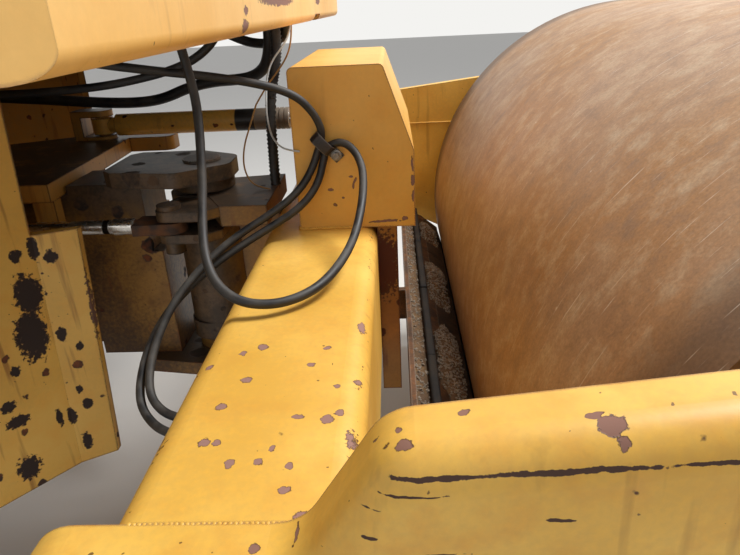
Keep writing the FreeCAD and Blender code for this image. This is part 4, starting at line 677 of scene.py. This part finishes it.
def boltMaster(size):
    # hexagon bolt with a domed head and a washer, upright at the origin; size is half the width across corners
    head = addPart("boltHead", "cylinder", vertices=6, radius=size, depth=size * 1.15,
                   location=(0, 0, size * 0.85))
    pickFaces(head, lambda face: face.normal.z > 0.9)
    bpy.ops.mesh.inset(thickness=size * 0.16)
    bpy.ops.transform.translate(value=(0, 0, size * 0.14))
    bpy.ops.object.mode_set(mode="OBJECT")
    washer = addPart("washer", "cylinder", vertices=20, radius=size * 1.45, depth=size * 0.3,
                     location=(0, 0, size * 0.13))
    pickFaces(washer, lambda face: face.normal.z > 0.9)
    bpy.ops.mesh.inset(thickness=size * 0.12)
    bpy.ops.transform.translate(value=(0, 0, size * 0.06))
    bpy.ops.object.mode_set(mode="OBJECT")
    head.select_set(True)
    bpy.context.view_layer.objects.active = head
    bpy.ops.object.join()
    return head


def copyTo(master, place, axis, spin=0.0):
    # a copy with its own mesh, its Z laid along the axis
    other = master.copy()
    other.data = master.data.copy()
    bpy.context.scene.collection.objects.link(other)
    lie = Vector((0, 0, 1)).rotation_difference(Vector(axis)).to_matrix().to_4x4()
    other.data.transform(Matrix.Translation(place) @ lie @ Matrix.Rotation(spin, 4, "Z"))
    return other


def dropPiece(piece):
    mesh = piece.data
    bpy.data.objects.remove(piece)
    bpy.data.meshes.remove(mesh)


# hose strap: a bent strip over the two hoses on the box, turned 40 degrees, with its bolt
strap = {"width": 0.025, "thick": 0.003, "turn": 47, "centre": (1.5255, -0.2225, 0.3555),
         "bends": ((-0.025, 0.0), (-0.0245, -0.022), (-0.018, -0.029), (0.0, -0.0305), (0.018, -0.029),
                   (0.0245, -0.020), (0.0265, -0.002), (0.053, -0.002))}
strip = addPart("hoseStrap", "plane", size=1.0, location=(0, 0, 0))
first, second = strap["bends"][:2]
for point in strip.data.vertices:
    along, rise = first if point.co.x < 0 else second
    point.co = (along, rise, math.copysign(strap["width"] / 2, point.co.y))
last = second
for spot in strap["bends"][2:]:
    pickPoints(strip, lambda co, last=last: abs(co.x - last[0]) + abs(co.y - last[1]) < 1e-5)
    bpy.ops.mesh.extrude_region_move(
        TRANSFORM_OT_translate={"value": (spot[0] - last[0], spot[1] - last[1], 0)})
    bpy.ops.object.mode_set(mode="OBJECT")
    last = spot
bpy.ops.object.mode_set(mode="EDIT")
bpy.ops.mesh.select_all(action="SELECT")
bpy.ops.mesh.normals_make_consistent(inside=False)
bpy.ops.object.mode_set(mode="OBJECT")
addModifier(strip, "SOLIDIFY", thickness=strap["thick"], offset=0)
addModifier(strip, "BEVEL", width=0.0012, segments=2)
strip.data.transform(Matrix.Translation(strap["centre"]) @ Matrix.Rotation(math.radians(strap["turn"]), 4, "Y"))
master = boltMaster(0.0085)
boltPlace = (1.5525, -0.2262, 0.3265)
bolt = copyTo(master, boltPlace, (0, -1, 0), 0.4)
dropPiece(master)
fittings = []
for y in (-0.645, -0.692):
    hexagon = addPart("fittingHexagon", "cylinder", vertices=6, radius=0.0145, depth=0.014,
                      location=(1.367, y, -0.060), rotation=(0, math.radians(90), 0))
    addModifier(hexagon, "BEVEL", width=0.0012, segments=2)
    ferrule = addPart("ferrule", "cylinder", vertices=20, radius=0.0125, depth=0.030,
                      location=(1.346, y, -0.060), rotation=(0, math.radians(90), 0))
    pickFaces(ferrule, lambda face: abs(face.normal.x) > 0.9)
    bpy.ops.mesh.inset(thickness=0.003)
    bpy.ops.object.mode_set(mode="OBJECT")
    addModifier(ferrule, "BEVEL", width=0.001, segments=2)
    fittings += [hexagon, ferrule]
clampPiece = joinPieces("hose_strap", [strip], strapFinish, "front_frame")
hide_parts("hose_clamp")
joinPieces("strap_bolt", [bolt], zincFinish, "front_frame")
fittingPiece = joinPieces("hose_fittings", fittings, zincFinish, "front_frame")
unions = []
for x in (1.285, 0.963):
    hexagon = addPart("unionHexagon", "cylinder", vertices=6, radius=0.0145, depth=0.012,
                      location=(x, -0.411, 0.749))
    addModifier(hexagon, "BEVEL", width=0.0012, segments=2)
    ferrule = addPart("unionFerrule", "cylinder", vertices=20, radius=0.0125, depth=0.030,
                      location=(x, -0.411, 0.728))
    pickFaces(ferrule, lambda face: abs(face.normal.z) > 0.9)
    bpy.ops.mesh.inset(thickness=0.003)
    bpy.ops.object.mode_set(mode="OBJECT")
    addModifier(ferrule, "BEVEL", width=0.001, segments=2)
    unions += [hexagon, ferrule]
unionPiece = joinPieces("deck_unions", unions, zincFinish, "nose")
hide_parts("hose_unions")
print("clamp and unions made")

# bolts: rings of them on the hidden sides, each a copy of one
boltRings = {
    "disc_bolts_right": {"size": 0.018, "body": "front_frame", "centre": (2.6, -1.195, -0.15), "axis": (0, -1, 0),
                         "ring": 0.165, "count": 8},
    "disc_bolts_left": {"size": 0.018, "body": "front_frame", "centre": (2.6, 1.195, -0.15), "axis": (0, 1, 0),
                        "ring": 0.165, "count": 8},
    "housing_bolts": {"size": 0.016, "body": "nose", "centre": (0.055, 0.0, 0.0), "axis": (1, 0, 0),
                      "ring": 0.182, "count": 8},
}
for name, ring in boltRings.items():
    master = boltMaster(ring["size"])
    axis = Vector(ring["axis"])
    side = axis.orthogonal().normalized()
    made = []
    for i in range(ring["count"]):
        angle = 2 * math.pi * (i + 0.5) / ring["count"]
        arm = Matrix.Rotation(angle, 3, axis) @ side * ring["ring"]
        made.append(copyTo(master, Vector(ring["centre"]) + arm, axis, i * 0.7))
    dropPiece(master)
    joinPieces(name, made, zincFinish, ring["body"])
print("bolts made")

# weld seams: overlapping beads, one modelled and set in a row
welds = {
    "weld_rail_right": {"body": "front_frame", "from": (1.400, -1.115, 0.1535), "to": (1.600, -1.115, 0.1535),
                        "radius": 0.003},
    "weld_rail_left": {"body": "front_frame", "from": (1.400, 1.115, 0.1535), "to": (1.600, 1.115, 0.1535),
                       "radius": 0.003},
    "weld_rail_right_front": {"body": "front_frame", "from": (1.640, -1.1155, 0.155), "to": (2.0, -1.1155, 0.155)},
    "weld_rail_left_front": {"body": "front_frame", "from": (1.640, 1.1155, 0.155), "to": (2.0, 1.1155, 0.155)},
    "weld_box_near": {"body": "front_frame", "from": (1.458, -0.221, 0.157), "to": (1.600, -0.221, 0.157)},
    "weld_box_rear": {"body": "front_frame", "from": (1.457, -0.215, 0.157), "to": (1.457, 0.335, 0.157)},
}
for name, weld in welds.items():
    start, end = Vector(weld["from"]), Vector(weld["to"])
    run = end - start
    step = 0.0055
    bead = addPart(name, "uv_sphere", segments=8, ring_count=5, radius=weld.get("radius", 0.0045), location=start)
    bead.data.transform(Matrix.Translation(start) @ Matrix.Diagonal((1, 1, 0.75, 1)) @ Matrix.Translation(-start))
    offset = run.normalized() * step
    addModifier(bead, "ARRAY", count=int(run.length / step), use_relative_offset=False,
                use_constant_offset=True, constant_offset_displace=offset)
    for point in bead.data.vertices:
        point.co += noise.noise_vector(point.co * 90) * 0.0009
    joinPieces(name, [bead], weldFinish, weld["body"])
print("welds made")

# dirt and gravel lying on the scraper's shelf
heap = {"from": 1.7125, "to": 1.846, "half": 1.03, "seed": 7, "stones": 3600,
        "heaps": ((0.84, 0.11), (0.34, 0.19), (-0.16, 0.20), (-0.62, 0.15), (-0.93, 0.06))}


def shelfTop(x):
    # the shelf's slope, then the blades' steeper one
    if x < 1.795:
        return -0.195 - 0.043 * (x - 1.712) / 0.083
    return -0.238 - 0.050 * (x - 1.795) / 0.062


def heapHeight(x, y):
    # a low strip of dirt behind the wiper, and separate heaps in front of it, against the drum
    rough = 0.0015 * noise.noise(Vector((x * 110, y * 110, 0)))
    if x < 1.748:
        lumps = 0.7 + 0.5 * noise.noise(Vector((y * 7, 3.1, 0.7)))
        return lumps * 0.010 * math.sin(math.pi * (x - 1.7125) / 0.036) + rough
    if x < 1.774:
        return -0.004
    deep = 0.0
    for middle, reach in heap["heaps"]:
        ragged = reach * (1 + 0.35 * noise.noise(Vector((x * 40, middle * 9, 2.0))))
        deep = max(deep, 1 - ((y - middle) / ragged) ** 2)
    across = math.sin(math.pi * min(1.0, (x - 1.774) / 0.072)) ** 0.5
    return deep * across * 0.030 - 0.004 + rough


mound = addPart("dirt_mound", "grid", x_subdivisions=26, y_subdivisions=300, size=1.0, location=(0, 0, 0))
for point in mound.data.vertices:
    x = heap["from"] + (point.co.x + 0.5) * (heap["to"] - heap["from"])
    y = point.co.y * 2 * heap["half"]
    point.co = (x, y, shelfTop(x) + heapHeight(x, y))
joinPieces("dirt_mound", [mound], soilFinish, "front_frame")
random.seed(heap["seed"])
stones = []
pebble = addPart("pebble", "ico_sphere", subdivisions=1, radius=1.0, location=(0, 0, 0))
for i in range(heap["stones"]):
    x = random.uniform(1.776, heap["to"]) if i % 6 else random.uniform(1.716, 1.745)
    y = random.uniform(-heap["half"], heap["half"])
    height = heapHeight(x, y)
    if height < 0.001:
        continue
    size = random.choice((0.002, 0.003, 0.003, 0.004, 0.006))
    other = pebble.copy()
    other.data = pebble.data.copy()
    bpy.context.scene.collection.objects.link(other)
    shape = Matrix.Diagonal((size, size * random.uniform(0.7, 1.2), size * random.uniform(0.5, 0.9), 1))
    spin = Matrix.Rotation(random.uniform(0, 6.28), 4, Vector((random.random(), random.random(), 1)).normalized())
    other.data.transform(Matrix.Translation((x, y, shelfTop(x) + height)) @ spin @ shape)
    stones.append(other)
dropPiece(pebble)
joinPieces("gravel", stones, gravelFinish, "front_frame")
print("gravel made", len(stones))

# wiper strips: five lengths of rubber bar with joints, on the shelf, and a thin dark lip that reaches to the drum,
# partly the blade's lower part and partly painted shadow in the gap
wiper = {"x": 1.760, "z": -0.213, "width": 0.021, "tall": 0.030, "count": 5, "gap": 0.006, "half": 1.035}
pitch = 2 * wiper["half"] / wiper["count"]
bars = []
for i in range(wiper["count"]):
    middle = -wiper["half"] + (i + 0.5) * pitch
    bar = addPart("wiperBar", "cube", size=1.0, location=(wiper["x"], middle, wiper["z"]),
                  scale=(wiper["width"], pitch - wiper["gap"], wiper["tall"]))
    pickFaces(bar, lambda face: face.normal.z > 0.9)
    bpy.ops.mesh.inset(thickness=0.004)
    bpy.ops.transform.translate(value=(0, 0, 0.003))
    bpy.ops.object.mode_set(mode="OBJECT")
    addModifier(bar, "BEVEL", width=0.0015, segments=2)
    bar.data.transform(Matrix.Translation((0, 0, 0.0015 * math.sin(i * 2.3))))
    bars.append(bar)
joinPieces("wiper_bars", bars, rubberFinish, "front_frame")
# the lip is a dark sheet: the blade's lower part, and painted shadow over the gap between blade and drum
lip = addPart("wiperLipShadowSheet", "plane", size=1.0, location=(0, 0, 0))
for point in lip.data.vertices:
    point.co = (1.853 if point.co.x < 0 else 1.887, point.co.y * 2 * wiper["half"],
                -0.2865 if point.co.x < 0 else -0.398)
addModifier(lip, "SOLIDIFY", thickness=0.004, offset=0)
addModifier(lip, "BEVEL", width=0.001, segments=2)
joinPieces("wiper_lip_shadow_sheet", [lip], rubberFinish, "front_frame")
print("wipers made")

# floor, lights and a pale world
floorMaterial, tree, shader, place = startFinish("paleFloor")
shader.inputs["Base Color"].default_value = linear("#E8E5DF")
shader.inputs["Roughness"].default_value = 0.9
floor = addPart("floor", "plane", size=60, location=(1.8, 0, -0.9))
floor.data.materials.append(floorMaterial)
lamps = {
    "key": {"place": (4.6, 0.9, 5.0), "aim": (1.6, -0.2, 0.0), "size": 2.2, "power": 400},
    "fill": {"place": (0.2, -4.5, 2.2), "aim": (1.6, -0.2, 0.0), "size": 4.0, "power": 15},
}
for name, lamp in lamps.items():
    data = bpy.data.lights.new(name, "AREA")
    data.shape = "DISK"
    data.size = lamp["size"]
    data.energy = lamp["power"]
    light = bpy.data.objects.new(name, data)
    bpy.context.scene.collection.objects.link(light)
    light.location = lamp["place"]
    light.rotation_euler = (Vector(lamp["aim"]) - Vector(lamp["place"])).to_track_quat("-Z", "Y").to_euler()
world = bpy.data.worlds.new("studio")
bpy.context.scene.world = world
world.use_nodes = True
tree = world.node_tree
lit = addNode(tree, "Background", {}, {"Color": linear("#F2F4F8"), "Strength": 0.45})
seen = addNode(tree, "Background", {}, {"Color": linear("#F4F3F0"), "Strength": 1.0})
rays = addNode(tree, "LightPath")
through = addNode(tree, "Math", {"operation": "MAXIMUM"}, {0: rays.node.outputs["Is Camera Ray"],
                                                           1: rays.node.outputs["Is Glossy Ray"]})
through = addNode(tree, "Math", {"operation": "MAXIMUM"}, {0: through, 1: rays.node.outputs["Is Transmission Ray"]})
blended = addNode(tree, "MixShader", {}, {0: through, 1: lit, 2: seen})
tree.links.new(blended, tree.nodes["World Output"].inputs["Surface"])
bpy.context.scene.view_settings.view_transform = "Standard"
print("stage set")
